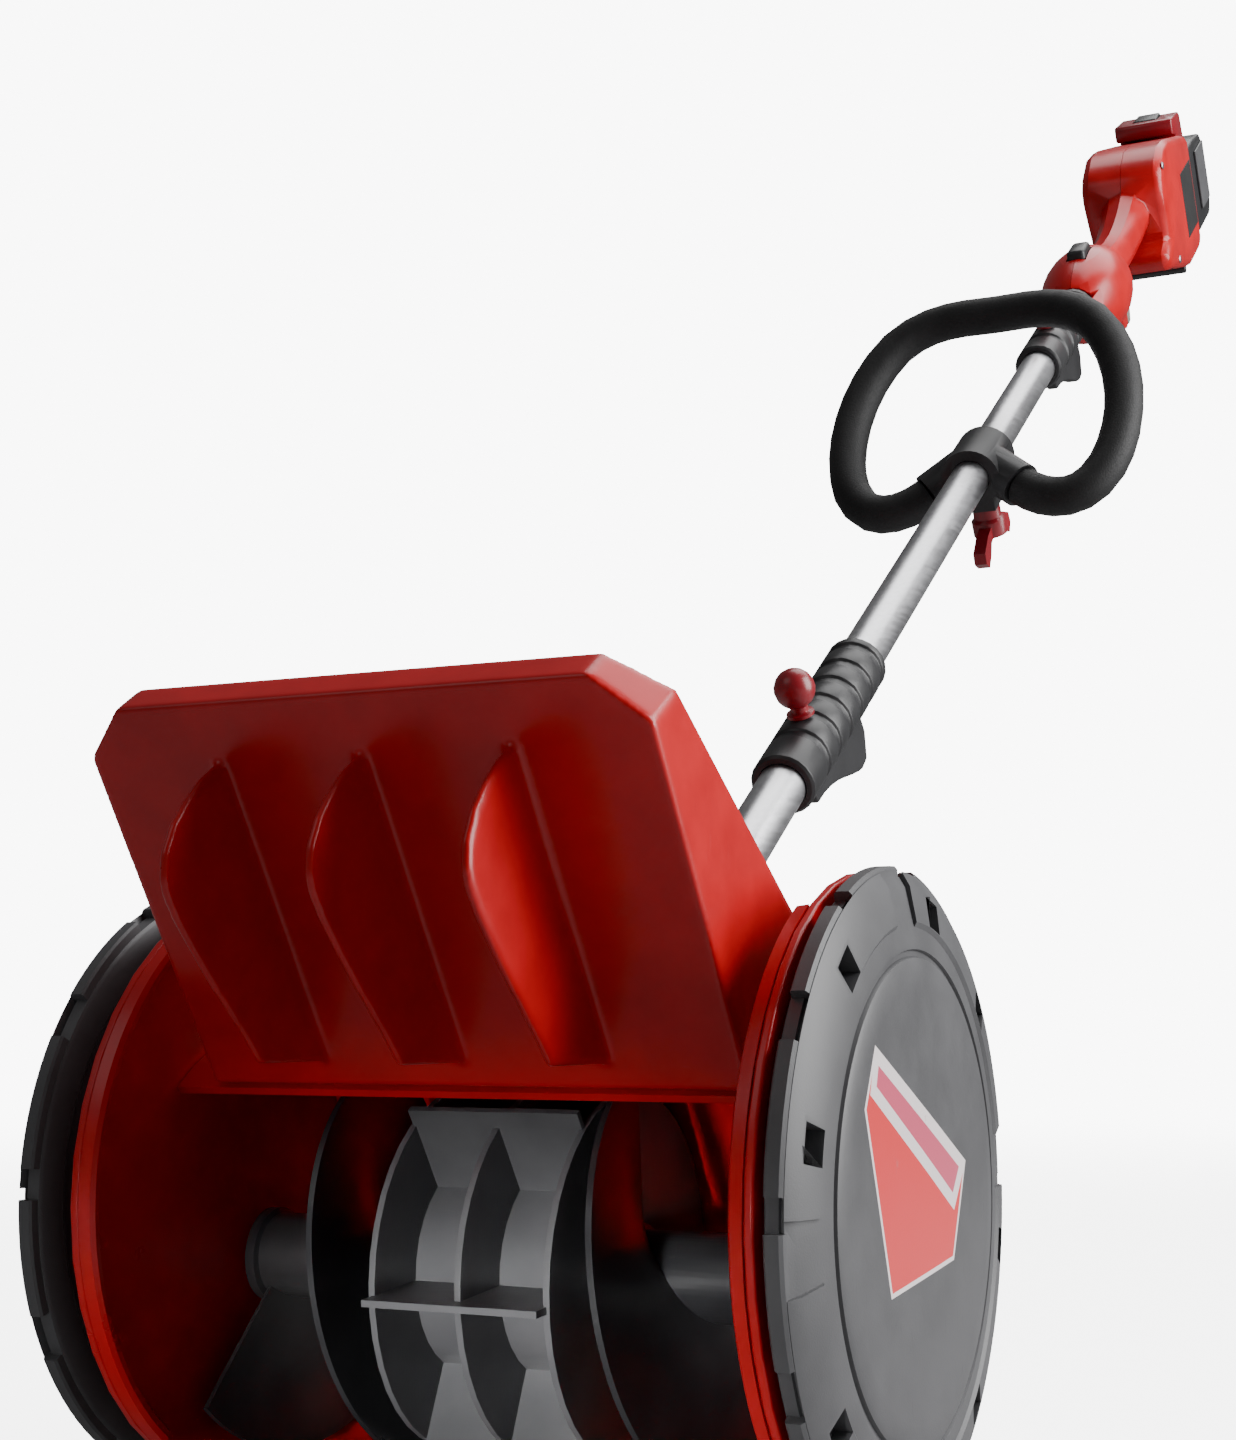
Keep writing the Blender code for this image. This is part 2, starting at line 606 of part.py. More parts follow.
def wheels():
    for side, name in ((1, "right"), (-1, "left")):
        inner = PLATE_OUT + WHEEL_PLATE_GAP + (0 if side > 0 else DRIVE_DEPTH)
        face = inner + WHEEL_WIDTH
        spin = empty("wheel_spin_" + name, (side * inner, 0, 0), machine)
        low, high = sorted((0.0, side * WHEEL_WIDTH))
        wheel = slab("wheel_" + name, list(tread_outline()), low, high, GREY, spin)
        rounded(wheel, 0.0016, 1, 40)
        hole = rod("axle_hole_" + name, AXLE_RADIUS + GAP, 0.06, None, spin, (0, 0, 0), sides=24)
        boolean(wheel, hole)
        rim = ring_profile(WHEEL_RADIUS - WHEEL_RIM, 0.020, WHEEL_WIDTH - 0.001)
        hollow = turned("wheel_hollow_" + name, rim, None, spin)
        boolean(wheel, hollow)
        rise = CAP_RISE
        profile = [(0.0, rise), (CAP_RADIUS - 0.010, rise), (CAP_RADIUS - 0.003, rise - 0.0012),
                   (CAP_RADIUS, rise - 0.004), (CAP_RADIUS, GAP), (CAP_RADIUS - 0.003, GAP),
                   (CAP_RADIUS - 0.004, rise - 0.004), (CAP_RADIUS - 0.010, rise - SKIN), (0.0, rise - SKIN)]
        cap = turned("wheel_cap_" + name, profile, GREY, spin, (side * WHEEL_WIDTH, 0, 0), steps=40)
        if side < 0:
            cap.rotation_euler.y = -pi / 2
        base = (PLATE_OUT + GAP) if side > 0 else (PLATE_OUT + DRIVE_DEPTH + GAP)
        end = face + rise - SKIN - 0.0015
        step = WHEEL_PLATE_GAP - 2 * GAP
        profile = [(0.0, end - base), (AXLE_RADIUS, end - base), (AXLE_RADIUS, step), (AXLE_COLLAR, step),
                   (AXLE_COLLAR, 0.0), (0.0, 0.0)]
        axle = turned("axle_" + name, profile, STEEL, machine, (side * base, 0, 0), steps=24)
        if side < 0:
            axle.rotation_euler.y = -pi / 2


# ---------------------------------------------------------------- shaft
def tube(name, low, high):
    length = high - low
    turned(name, ring_profile(TUBE_RADIUS, TUBE_BORE, length), ALUMINIUM, shaft,
           (0, (low + high) / 2, 0), axis="Y", steps=28)


def coupler(number, start):
    """Ribbed sleeve that joins two tubes, with a ball knob above and a hooked fin below."""
    inner = TUBE_RADIUS + GAP
    high = COUPLER_LENGTH / 2
    chamfer = 0.0015
    groove = COUPLER_WALL * 0.27
    profile = [(inner, high), (COUPLER_RADIUS - chamfer, high), (COUPLER_RADIUS, high - chamfer)]
    for k in range(int((COUPLER_LENGTH - 0.010) / COUPLER_RIB)):
        top = high - 0.006 - k * COUPLER_RIB
        profile += [(COUPLER_RADIUS, top), (COUPLER_RADIUS - groove, top - groove),
                    (COUPLER_RADIUS - groove, top - COUPLER_GROOVE + groove),
                    (COUPLER_RADIUS, top - COUPLER_GROOVE)]
    profile += [(COUPLER_RADIUS, chamfer - high), (COUPLER_RADIUS - chamfer, -high), (inner, -high)]
    turned(f"coupler_{number}", profile, BLACK, shaft, (0, start + high, 0), axis="Y", steps=22)
    seat = COUPLER_RADIUS + GAP
    knob = empty(f"coupler_{number}_knob_turn", (0, start + KNOB_AT, seat), shaft)
    profile = [(0.0, KNOB_STEM + KNOB_RADIUS)]
    profile += [(r, KNOB_STEM + h) for r, h in arc((0, 0), KNOB_RADIUS, 72, -60, 7)]
    neck, collar = KNOB_RADIUS * 0.43, KNOB_RADIUS * 0.67
    profile += [(neck, 0.0050), (neck, 0.002), (collar, 0.0015), (collar, 0.0), (0.0, 0.0)]
    turned(f"coupler_{number}_knob", profile, DARK_RED, knob, axis="Z", steps=18)
    fin = [(0.026, -seat), (0.112, -seat), (0.114, -seat - 0.0132), (0.108, -seat - 0.0272)]
    fin += bezier((0.099, -seat - 0.0282), (0.084, -seat - 0.0262), (0.060, -seat - 0.0092),
                  (0.030, -seat - 0.0102), 8)
    fin = [(start + along, normal) for along, normal in fin]
    slab(f"coupler_{number}_hook", fin, -HOOK_HALF_WIDTH, HOOK_HALF_WIDTH, BLACK, shaft)


def loop_handle():
    """Rounded loop that leans along the shaft, held by a clamp with a wing knob."""
    slide = empty("handle_slide", (0, CLAMP, 0), shaft)
    tilt = empty("loop_tilt", (0, 0, 0), slide, LOOP_TILT)
    w, h = LOOP_HALF_WIDTH, LOOP_HEIGHT
    out = Vector((sin(LOOP_LEAN), -cos(LOOP_LEAN)))
    root = Vector((0.0, 0.006)) + out * LOOP_ROOT
    half = list(bezier(root, root + out * 0.016, (w * 0.78, -0.042), (w * 0.95, -0.010), 7))
    half += list(bezier(half[-1], (w * 1.10, 0.020), (w * 1.06, h * 0.60), (w * 0.76, h * 0.86), 8))[1:]
    half += list(bezier(half[-1], (w * 0.52, h * 1.04), (w * 0.22, h), (0.0, h), 6))[1:]
    path = half + [(-x, y) for x, y in half[-2::-1]]
    pipe("loop_handle", [(x, y, 0.0) for x, y in path], LOOP_RADIUS, BLACK, tilt, resolution=4)
    clamp = rod("handle_clamp", CLAMP_RADIUS, CLAMP_LENGTH, BLACK, slide, axis="Y")
    base = CLAMP_RADIUS + CLAMP_FOOT
    foot = box("clamp_foot", (-0.010, -0.014, -base), (0.010, 0.014, -TUBE_RADIUS), None, slide)
    boolean(clamp, foot, "UNION")
    for side, name in ((1, "right"), (-1, "left")):
        reach = LOOP_ROOT - RUNNING
        middle = Vector((0.0, 0.006)) + out * reach / 2
        socket = rod("loop_socket_" + name, LOOP_RADIUS + LOOP_SOCKET, reach, None, tilt,
                     (side * middle.x, middle.y, 0), axis="Y")
        socket.rotation_euler.z = -side * (pi - LOOP_LEAN)
        boolean(clamp, socket, "UNION")
    boolean(clamp, rod("clamp_bore", TUBE_RADIUS + GAP, 3 * CLAMP_LENGTH, None, slide, axis="Y"))
    knob = empty("wing_knob_turn", (0, 0, -base - GAP), slide)
    profile = [(0.0, 0.0), (0.009, 0.0), (0.009, -0.008), (0.011, -0.010), (0.011, -0.020), (0.0, -0.020)]
    wings = turned("wing_knob", profile, DARK_RED, knob, axis="Z", steps=24)
    right = [(0.12, -0.0110), (0.62, -0.0140), (1.00, -0.0200), (1.03, -0.0270),
             (0.86, -0.0320), (0.62, -0.0270), (0.45, -0.0210), (0.12, -0.0185)]
    wing = [(share * WING_SPAN, out) for share, out in right]
    wing += [(-a, out) for a, out in wing[::-1]]
    blade = slab("wing_blade", wing, -WING_HALF_WIDTH, WING_HALF_WIDTH, None, knob)
    boolean(wings, blade, "UNION")


def shaft_pieces():
    tube("lower_tube", 0.0, COUPLER_1 + COUPLER_LENGTH / 2 - GAP)
    tube("middle_tube", COUPLER_1 + COUPLER_LENGTH / 2 + GAP, COUPLER_2 + COUPLER_LENGTH / 2 - GAP)
    tube("upper_tube", COUPLER_2 + COUPLER_LENGTH / 2 + GAP, TUBE_END)
    middle = (SOCKET_LOW + SOCKET_HIGH) / 2
    length = SOCKET_HIGH - SOCKET_LOW
    profile = [(TUBE_RADIUS + GAP, length / 2), (SOCKET_RADIUS, length / 2), (SOCKET_RADIUS, -length / 2),
               (0.0, -length / 2), (0.0, -length / 2 + SOCKET_FLOOR),
               (TUBE_RADIUS + GAP, -length / 2 + SOCKET_FLOOR)]
    turned("tube_socket", profile, BLACK, shaft, (0, middle, 0), axis="Y", steps=28)
    coupler(1, COUPLER_1)
    coupler(2, COUPLER_2)
    loop_handle()


# ---------------------------------------------------------------- battery grip
def as_mesh(made):
    """The same piece as a mesh, so that it can cut or be cut."""
    bpy.context.view_layer.update()
    seen = made.evaluated_get(bpy.context.evaluated_depsgraph_get())
    mesh = bpy.data.meshes.new_from_object(seen)
    work = bmesh.new()
    work.from_mesh(mesh)
    bmesh.ops.remove_doubles(work, verts=work.verts, dist=0.00001)
    bmesh.ops.recalc_face_normals(work, faces=work.faces)
    work.to_mesh(mesh)
    work.free()
    name, parent = made.name, made.parent
    place_at, turn = made.location.copy(), made.rotation_euler.copy()
    bpy.data.objects.remove(made, do_unlink=True)
    return place(bpy.data.objects.new(name, mesh), None, parent, place_at, turn)


def mirrored(made, name):
    """The piece as it looks from the other side of the middle plane."""
    bpy.context.view_layer.update()
    seen = made.evaluated_get(bpy.context.evaluated_depsgraph_get())
    mesh = bpy.data.meshes.new_from_object(seen)
    mesh.transform(Matrix.Scale(-1, 4, (1, 0, 0)))
    mesh.flip_normals()
    mesh.materials.clear()
    return place(bpy.data.objects.new(name, mesh), made.data.materials[0], made.parent, made.location)


def bulb(name, inset):
    work = bmesh.new()
    bmesh.ops.create_uvsphere(work, u_segments=26, v_segments=14, radius=1.0)
    size = Vector(BULB_SIZE) - Vector((inset, inset, inset))
    bmesh.ops.scale(work, vec=size, verts=work.verts)
    return from_bmesh(name, work, None, shaft, (0, *BULB))


def neck(name, inset):
    """Waisted bar from inside the bulb to inside the housing."""
    middle = list(bezier((GRIP - 0.100, 0.006), (GRIP - 0.050, -0.004), (GRIP + 0.015, -0.016),
                         (GRIP + 0.095, 0.014), 9))
    made = pipe(name, [(0.0, u, n) for u, n in middle], GRIP_HALF_WIDTH - inset, None, shaft, resolution=4)
    for k, point in enumerate(made.data.splines[0].points):
        away = abs(k - 4.5) / 4.5
        point.radius = 1.0 + GRIP_FLARE * away * away
    return as_mesh(made)


def housing_outline():
    """Faceted side view of the battery housing, with a heel that reaches under the grip."""
    end = HOUSING_END
    yield end, 0.034
    yield end - 0.084, 0.051
    yield from bezier((end - 0.112, 0.052), (end - 0.148, 0.044),
                      (end - 0.150, 0.026), (end - 0.144, 0.008), 4)
    yield end - 0.136, -0.020
    yield end - 0.156, -0.026
    yield end - 0.162, -0.034
    yield end - 0.150, -0.043
    yield end - 0.096, -0.058
    yield end - 0.062, -0.067
    yield end - 0.010, -0.067
    yield end, -0.060


def cut_box(name, low, high):
    return box(name, low, high, None, shaft)


def grip_shells():
    """Two moulded halves that meet on the middle plane and are hollow inside."""
    guard = slab("guard_outer", [(GRIP - 0.055, 0.000), (GRIP - 0.075, -0.020), (GRIP - 0.041, -0.058),
                                 (GRIP - 0.029, -0.060), (GRIP - 0.025, -0.052), (GRIP - 0.029, -0.010)],
                 -0.010, 0.010, None, shaft)
    rounded(guard, 0.003, 2, 40)
    outer = [bulb("bulb_outer", 0.0), neck("neck_outer", 0.0), guard]
    side = HOUSING_HALF_WIDTH - SKIN - PANEL_DEPTH
    inner_box = cut_box("housing_inner", (-side, HOUSING_END - HOUSING_LENGTH, -0.050),
                        (side, HOUSING_END - SKIN, 0.030))
    inner = [bulb("bulb_inner", SKIN), neck("neck_inner", SKIN), inner_box]
    bore = rod("tube_bore", TUBE_RADIUS + GAP, 0.09, None, shaft, (0, TUBE_END + GAP - 0.045, 0), axis="Y")
    sleeve = COUPLER_2 + COUPLER_LENGTH + GAP
    coupler_bore = rod("coupler_bore", COUPLER_RADIUS + GAP, 0.03, None, shaft,
                       (0, sleeve - 0.015, 0), axis="Y")
    half = TRIGGER_HALF_WIDTH + RUNNING
    hinge = GRIP + TRIGGER_AT
    trigger_slot = cut_box("trigger_slot", (-half, hinge - 0.0175, -0.040), (half, hinge + 0.020, -0.004))
    wide, long = BUTTON_SIZE[0] + 0.8 * RUNNING, BUTTON_SIZE[1] + 0.8 * RUNNING
    middle = BULB[0] + BUTTON_AT
    button_slot = cut_box("button_slot", (-wide, middle - long, TUBE_RADIUS + 0.006),
                          (wide, middle + long, BULB_SIZE[2] + 0.03))
    dock_slot = cut_box("dock_slot", (-DOCK_HALF_WIDTH, HOUSING_END - DOCK_DEPTH, DOCK_LOW),
                        (DOCK_HALF_WIDTH, HOUSING_END + 0.01, DOCK_HIGH))
    rear = HOUSING_END - PANEL_BACK
    panel = cut_box("panel_slot", (HOUSING_HALF_WIDTH - PANEL_DEPTH, rear - PANEL_LENGTH, PANEL_LOW),
                    (HOUSING_HALF_WIDTH + 0.01, rear, PANEL_HIGH))
    shell = slab("grip_shell_right", list(housing_outline()), -HOUSING_HALF_WIDTH, HOUSING_HALF_WIDTH,
                 RED, shaft)
    rounded(shell, HOUSING_EDGE, 2, 50)
    for tool in outer:
        boolean(shell, tool, "UNION")
    other_side = cut_box("other_side", (-0.08, BULB[0] - 0.12, -0.12),
                         (GAP / 2, HOUSING_END + 0.1, 0.12))
    for tool in (*inner, bore, coupler_bore, trigger_slot, button_slot, dock_slot, panel, other_side):
        boolean(shell, tool)
    mirrored(shell, "grip_shell_left")
    for side, name in ((1, "right"), (-1, "left")):
        low = side * (HOUSING_HALF_WIDTH - PANEL_DEPTH + GAP)
        low, high = sorted((low, side * (HOUSING_HALF_WIDTH + GAP)))
        box("side_panel_" + name, (low, rear - PANEL_LENGTH + GAP, PANEL_LOW + GAP),
            (high, rear - GAP, PANEL_HIGH - GAP), BLACK, shaft)
    for k, back in enumerate((0.052, 0.018)):
        rod(f"heel_foot_{k + 1}", FOOT_RADIUS, 1.5 * HOUSING_HALF_WIDTH, BLACK, shaft,
            (0, HOUSING_END - back, -0.067 - GAP - FOOT_RADIUS), axis="X", sides=16)


def trigger():
    hinge = empty("trigger_hinge", (0, GRIP + TRIGGER_AT, TRIGGER_DROP), shaft)
    outline = [(-0.008, 0.003), (0.012, 0.003), (0.014, -0.012), (0.009, -0.028), (0.008, -0.044),
               (0.004, -0.054), (-0.003, -0.055), (-0.008, -0.044), (-0.006, -0.026), (-0.011, -0.010)]
    lever = slab("trigger", outline, -TRIGGER_HALF_WIDTH, TRIGGER_HALF_WIDTH, TRIGGER_GREY, hinge)
    rounded(lever, 0.0015, 2, 30)
    hole = rod("trigger_pin_hole", PIN_RADIUS + GAP, 4 * TRIGGER_HALF_WIDTH, None, hinge, sides=16)
    boolean(lever, hole)
    rod("trigger_pin", PIN_RADIUS, 1.45 * GRIP_HALF_WIDTH, STEEL, shaft, hinge.location, sides=16)
    press = empty("lockoff_press", (0, BULB[0] + BUTTON_AT, 0.0), shaft)
    wide, long = BUTTON_SIZE
    box("lockoff_button", (-wide, -long, TUBE_RADIUS + 0.009),
        (wide, long, BULB[1] + BULB_SIZE[2] + BUTTON_PROUD), BLACK, press, 0.003)
    box("switch_box", (-0.0060, GRIP - 0.017, -0.0030), (0.0060, GRIP + 0.011, 0.0030), BLACK, shaft)


def battery():
    """Pack that stands on the dock behind the housing and lifts off along the shaft's normal."""
    slide = empty("battery_slide", (0, HOUSING_END, 0), shaft)
    edge = DOCK_HALF_WIDTH - RUNNING
    box("battery_dock", (-edge, HOUSING_END - DOCK_DEPTH + RUNNING, DOCK_LOW + RUNNING),
        (edge, HOUSING_END - GAP, DOCK_HIGH - RUNNING), BLACK, shaft)
    outline = [(GAP, BATTERY_FOOT + 0.006), (0.008, BATTERY_FOOT), (BATTERY_DEPTH - 0.010, BATTERY_FOOT),
               (BATTERY_DEPTH, BATTERY_FOOT + 0.010), (BATTERY_DEPTH, BATTERY_TOP - 0.014),
               (BATTERY_DEPTH - 0.008, BATTERY_TOP - 0.004), (CAP_BACK, BATTERY_TOP), (GAP, BATTERY_TOP)]
    pack = slab("battery_pack", outline, -BATTERY_HALF_WIDTH, BATTERY_HALF_WIDTH, BLACK, slide)
    rounded(pack, 0.003, 2, 50)
    outline = [(GAP, BATTERY_TOP + GAP), (CAP_BACK - 0.002, BATTERY_TOP + GAP),
               (CAP_BACK, BATTERY_TOP + 0.004), (CAP_BACK - 0.003, CAP_TOP - 0.003),
               (CAP_BACK - 0.007, CAP_TOP), (-CAP_LAP, CAP_TOP + 0.003),
               (-CAP_LAP - 0.002, CAP_TOP), (-CAP_LAP - 0.002, 0.0395), (GAP, 0.0355)]
    cap = slab("battery_cap", outline, -CAP_HALF_WIDTH, CAP_HALF_WIDTH, DARK_RED, slide)
    rounded(cap, 0.0016, 2, 50)
    middle = (CAP_BACK - CAP_LAP) / 2
    long = LATCH_HALF_WIDTH * 1.2
    pocket = box("latch_pocket", (-LATCH_HALF_WIDTH - RUNNING, middle - long - RUNNING, CAP_TOP - 0.006),
                 (LATCH_HALF_WIDTH + RUNNING, middle + long + RUNNING, CAP_TOP + 0.02), None, slide)
    boolean(cap, pocket)
    press = empty("latch_press", (0, middle, CAP_TOP - 0.006), slide)
    box("battery_latch", (-LATCH_HALF_WIDTH, -long, 0.0025), (LATCH_HALF_WIDTH, long, 0.006 + LATCH_PROUD),
        BLACK, press, 0.0015)
    for side, name in ((1, "right"), (-1, "left")):
        low_x, high_x = sorted((side * (BATTERY_HALF_WIDTH + GAP), side * (BATTERY_HALF_WIDTH + GAP + BAND)))
        box("battery_band_" + name, (low_x, 0.024, BATTERY_FOOT + 0.016),
            (high_x, BATTERY_DEPTH - 0.010, BATTERY_TOP - 0.010), GREY, slide, 0.0006)


side_plates()
drum()
hood()
vanes()
auger_frame = auger()
rear_cover()
motor_frame = motor()
pulley("auger_pulley", PULLEY_RADIUS, SHAFT_RADIUS + GAP, auger_frame, DRIVE_X)
pulley("motor_pulley", PINION_RADIUS, 0.003 + GAP, motor_frame, DRIVE_X)
belt(DRIVE_X)
drive_case()
wheels()
shaft_pieces()
grip_shells()
trigger()
battery()
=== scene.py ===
# %% [markdown]
# # A cordless snow shovel, finished for a studio picture
#
# A battery snow shovel is a small wheeled auger head on a long jointed shaft. Nearly everything on it is
# injection-moulded plastic: glossy red shells, black auger and sleeves, matt grey wheels. Only the tube,
# the shafts, the bearings and the screws are metal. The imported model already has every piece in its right
# place and size, so this script does what a finisher does: it rounds edges, cuts the wheels properly,
# blends the fins into the hood, paints every piece, and sets up a soft studio.

import bmesh
import bpy
import json
from math import cos, pi, radians, sin, sqrt
from mathutils import Matrix, Vector


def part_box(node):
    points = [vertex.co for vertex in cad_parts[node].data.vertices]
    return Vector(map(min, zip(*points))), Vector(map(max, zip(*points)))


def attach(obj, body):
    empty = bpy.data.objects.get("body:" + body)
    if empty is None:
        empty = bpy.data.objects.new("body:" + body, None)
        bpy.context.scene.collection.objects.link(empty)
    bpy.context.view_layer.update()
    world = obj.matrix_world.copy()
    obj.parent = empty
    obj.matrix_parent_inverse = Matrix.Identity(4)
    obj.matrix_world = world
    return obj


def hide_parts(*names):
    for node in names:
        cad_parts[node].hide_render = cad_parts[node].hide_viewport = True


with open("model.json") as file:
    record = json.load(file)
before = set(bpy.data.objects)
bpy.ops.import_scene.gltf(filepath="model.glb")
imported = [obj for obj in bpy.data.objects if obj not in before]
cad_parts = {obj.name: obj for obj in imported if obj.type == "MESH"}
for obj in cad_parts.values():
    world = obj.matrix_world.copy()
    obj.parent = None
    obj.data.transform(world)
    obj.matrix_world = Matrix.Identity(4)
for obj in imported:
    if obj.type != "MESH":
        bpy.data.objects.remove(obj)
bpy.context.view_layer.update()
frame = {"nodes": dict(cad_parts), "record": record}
nodes = frame["nodes"]
home = {node: body for body, members in frame["record"]["behaviour"]["bodies"].items() for node in members}
slot_of = {piece["node"]: piece["material_slot"] for piece in frame["record"]["subparts"]}
SIDES = ((1, "right"), (-1, "left"))


def face_x(node, side):
    """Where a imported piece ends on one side: 1 is right, -1 is left."""
    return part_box(node)[1 if side > 0 else 0].x


# %% [markdown]
# ## Shader maths as plain Python
#
# A material is a graph, and a graph is tedious to write as a list of links. A small class wraps one socket,
# and adding or multiplying two of them makes the Math node. Everything that isn't arithmetic, such as a
# noise texture, comes from one method that takes a node's type, its settings and its inputs.

# %% A value on a wire, and a recipe that owns the nodes
# A Mix node has one set of sockets per data type; these are the places of its colour set.
MIX_FACTOR, MIX_COLOUR_A, MIX_COLOUR_B, MIX_COLOUR_RESULT = 0, 6, 7, 2


class Wire:
    """One output socket, with arithmetic."""

    def __init__(self, recipe, socket):
        self.recipe, self.socket = recipe, socket

    def maths(self, operation, other):
        return self.recipe.node("ShaderNodeMath", dict(operation=operation), {0: self, 1: other})

    def __add__(self, other):
        return self.maths("ADD", other)

    def __mul__(self, other):
        return self.maths("MULTIPLY", other)

    def __sub__(self, other):
        return self.maths("SUBTRACT", other)

    def __rsub__(self, other):
        return (self * -1.0) + other

    __radd__, __rmul__ = __add__, __mul__

    def below(self, limit):
        return self.maths("LESS_THAN", limit)

    def above(self, limit):
        return self.maths("GREATER_THAN", limit)

    def ramp(self, low, high):
        """0 at low, 1 at high, smooth between."""
        settings = dict(interpolation_type="SMOOTHSTEP")
        return self.recipe.node("ShaderNodeMapRange", settings, {0: self, 1: low, 2: high, 3: 0.0, 4: 1.0})


class Recipe:
    """One material: its Principled shader and the nodes that feed it."""

    def __init__(self, name, **fixed):
        self.material = bpy.data.materials.new(name)
        self.material.use_nodes = True
        self.tree = self.material.node_tree
        self.shader = self.tree.nodes["Principled BSDF"]
        for key, value in fixed.items():
            self.shader.inputs[key.replace("_", " ")].default_value = value
        self.place = self.node("ShaderNodeTexCoord", {}, {}, "Object")

    def node(self, kind, settings, inputs, out=0):
        made = self.tree.nodes.new(kind)
        for key, value in settings.items():
            setattr(made, key, value)
        for key, value in inputs.items():
            if isinstance(value, Wire):
                self.tree.links.new(value.socket, made.inputs[key])
            else:
                made.inputs[key].default_value = value
        return Wire(self, made.outputs[out])

    def feed(self, name, value):
        if isinstance(value, Wire):
            self.tree.links.new(value.socket, self.shader.inputs[name])
        else:
            self.shader.inputs[name].default_value = value

    def fed(self, name):
        """What feeds an input now, to build on."""
        return Wire(self, self.shader.inputs[name].links[0].from_socket)

    def noise(self, scale, detail=2.0, where=None, roughness=0.5):
        inputs = {"Vector": where or self.place, "Scale": scale, "Detail": detail, "Roughness": roughness}
        return self.node("ShaderNodeTexNoise", {}, inputs, "Fac")

    def laid(self, turn=(0, 0, 0), scale=(1, 1, 1), shift=(0, 0, 0)):
        """Object coordinates, turned and stretched."""
        inputs = {"Vector": self.place, "Location": shift, "Rotation": turn, "Scale": scale}
        return self.node("ShaderNodeMapping", dict(vector_type="POINT"), inputs)

    def blend(self, share, first, second):
        """A colour between two colours."""
        inputs = {MIX_FACTOR: share, MIX_COLOUR_A: first, MIX_COLOUR_B: second}
        return self.node("ShaderNodeMix", dict(data_type="RGBA"), inputs, MIX_COLOUR_RESULT)

    def bump(self, height, strength, distance, under=None):
        inputs = {"Height": height, "Strength": strength, "Distance": distance}
        if under:
            inputs["Normal"] = under
        return self.node("ShaderNodeBump", {}, inputs)


def linear(level):
    """One screen level, 0 to 1, as linear light, by the sRGB curve."""
    return level / 12.92 if level < 0.0405 else ((level + 0.055) / 1.055) ** 2.4


def rgb(red, green, blue):
    """A screen colour, 0 to 255, as linear light."""
    return tuple(linear(level / 255) for level in (red, green, blue))


print("shader tools ready; mid grey is", round(rgb(128, 128, 128)[0], 3))

# %% [markdown]
# ## The finishes
#
# Red shells are a glossy ABS: smooth, with the faint waviness that a mould leaves and hairline scuffs that
# only show in the gloss. Grey wheels and black sleeves come from a spark-eroded mould, so they have a fine
# pebbled grain and a broad highlight. The tube is drawn aluminium, with long streaks down its length.
# Each finish changes its colour a little over the surface, because real plastic is never quite one colour.

# %% Moulded plastics


def moulded(name, colour, roughness, grain, coat=0.0, scuffs=0.12, dust=0.0, index=1.5):
    """A moulded plastic: grain is the height of its pebbles in metres."""
    made = Recipe(name, IOR=index, Coat_Weight=coat, Coat_Roughness=0.18)
    cloudy = made.noise(7.0, 3.0)
    mottle = made.noise(55.0, 4.0)
    pebble = made.noise(1500.0, 2.0)
    wave = made.noise(26.0, 1.0)
    scratch = made.noise(60.0, 6.0, made.laid((0.3, 0.7, 0.2), (1.0, 9.0, 1.0)), 0.75)
    scuffed = scratch.ramp(0.60, 0.74)
    deep = tuple(c * 0.86 for c in colour)
    light = tuple(min(1.0, c * 1.12 + 0.004) for c in colour)
    shade = made.blend((cloudy * 0.65 + mottle * 0.35).ramp(0.36, 0.66), (*deep, 1), (*light, 1))
    pale = tuple(c * 0.7 + 0.05 for c in colour)
    shade = made.blend(scuffed * scuffs, shade, (*pale, 1))
    if dust:
        shade = made.blend(made.noise(14.0, 5.0).ramp(0.52, 0.75) * dust, shade, (0.20, 0.19, 0.18, 1))
    made.feed("Base Color", shade)
    made.feed("Roughness", (cloudy - 0.5) * 0.10 + scuffed * 0.16 + (mottle - 0.5) * 0.08 + roughness)
    soft = made.bump(wave, 0.25, 0.0006)
    made.feed("Normal", made.bump(pebble, 0.35, grain, soft))
    return made


RED = rgb(188, 2, 12)
red_plastic = moulded("glossy_red_shell", RED, 0.30, 0.00003, coat=0.10, index=1.42)
dark_red_plastic = moulded("dark_red_knob", rgb(138, 8, 26), 0.34, 0.00004, coat=0.2)
black_plastic = moulded("black_grained_plastic", rgb(30, 30, 32), 0.42, 0.00010, scuffs=0.25)
auger_plastic = moulded("black_auger_plastic", rgb(34, 34, 36), 0.30, 0.00006, coat=0.15, scuffs=0.35,
                        dust=0.10)
# The paddles are the same black plastic as the auger. Their lighter grey is painted light for their lit
# faces, and real scuffs and dust lie on top of it.
paddle_grey_painted_lit = moulded("worn_paddle_painted_lit_grey", rgb(78, 78, 80), 0.36, 0.00008, scuffs=0.35, dust=0.10)
grey_plastic = moulded("grey_wheel_plastic", rgb(76, 76, 78), 0.44, 0.00012, scuffs=0.3, dust=0.06)
trigger_plastic = moulded("grey_trigger_plastic", rgb(120, 120, 112), 0.45, 0.00010)
# This black serves two places. On the side panels' rubber inlays it is their own colour. In the wheels'
# grey pockets it is painted shade in the recesses.
inlay_black_and_pocket_shade = moulded("black_inlay_and_painted_pocket_shade", rgb(14, 14, 15), 0.6, 0.00010, scuffs=0.05)
rubber = moulded("belt_rubber", rgb(26, 26, 27), 0.78, 0.00015, scuffs=0.1)
print("plastics made")

# %% [markdown]
# ## Metal and foam
#
# The streaks on a drawn tube run along it, so its noise is squeezed across the tube and stretched along it.
# The shaft leans at a known angle: its own coordinates are turned back by that angle first. The loop
# handle's grip is a closed-cell foam, which is all small pits and hardly shines at all.

# %% Aluminium, steel and foam
SHAFT_LEAN = 34.6


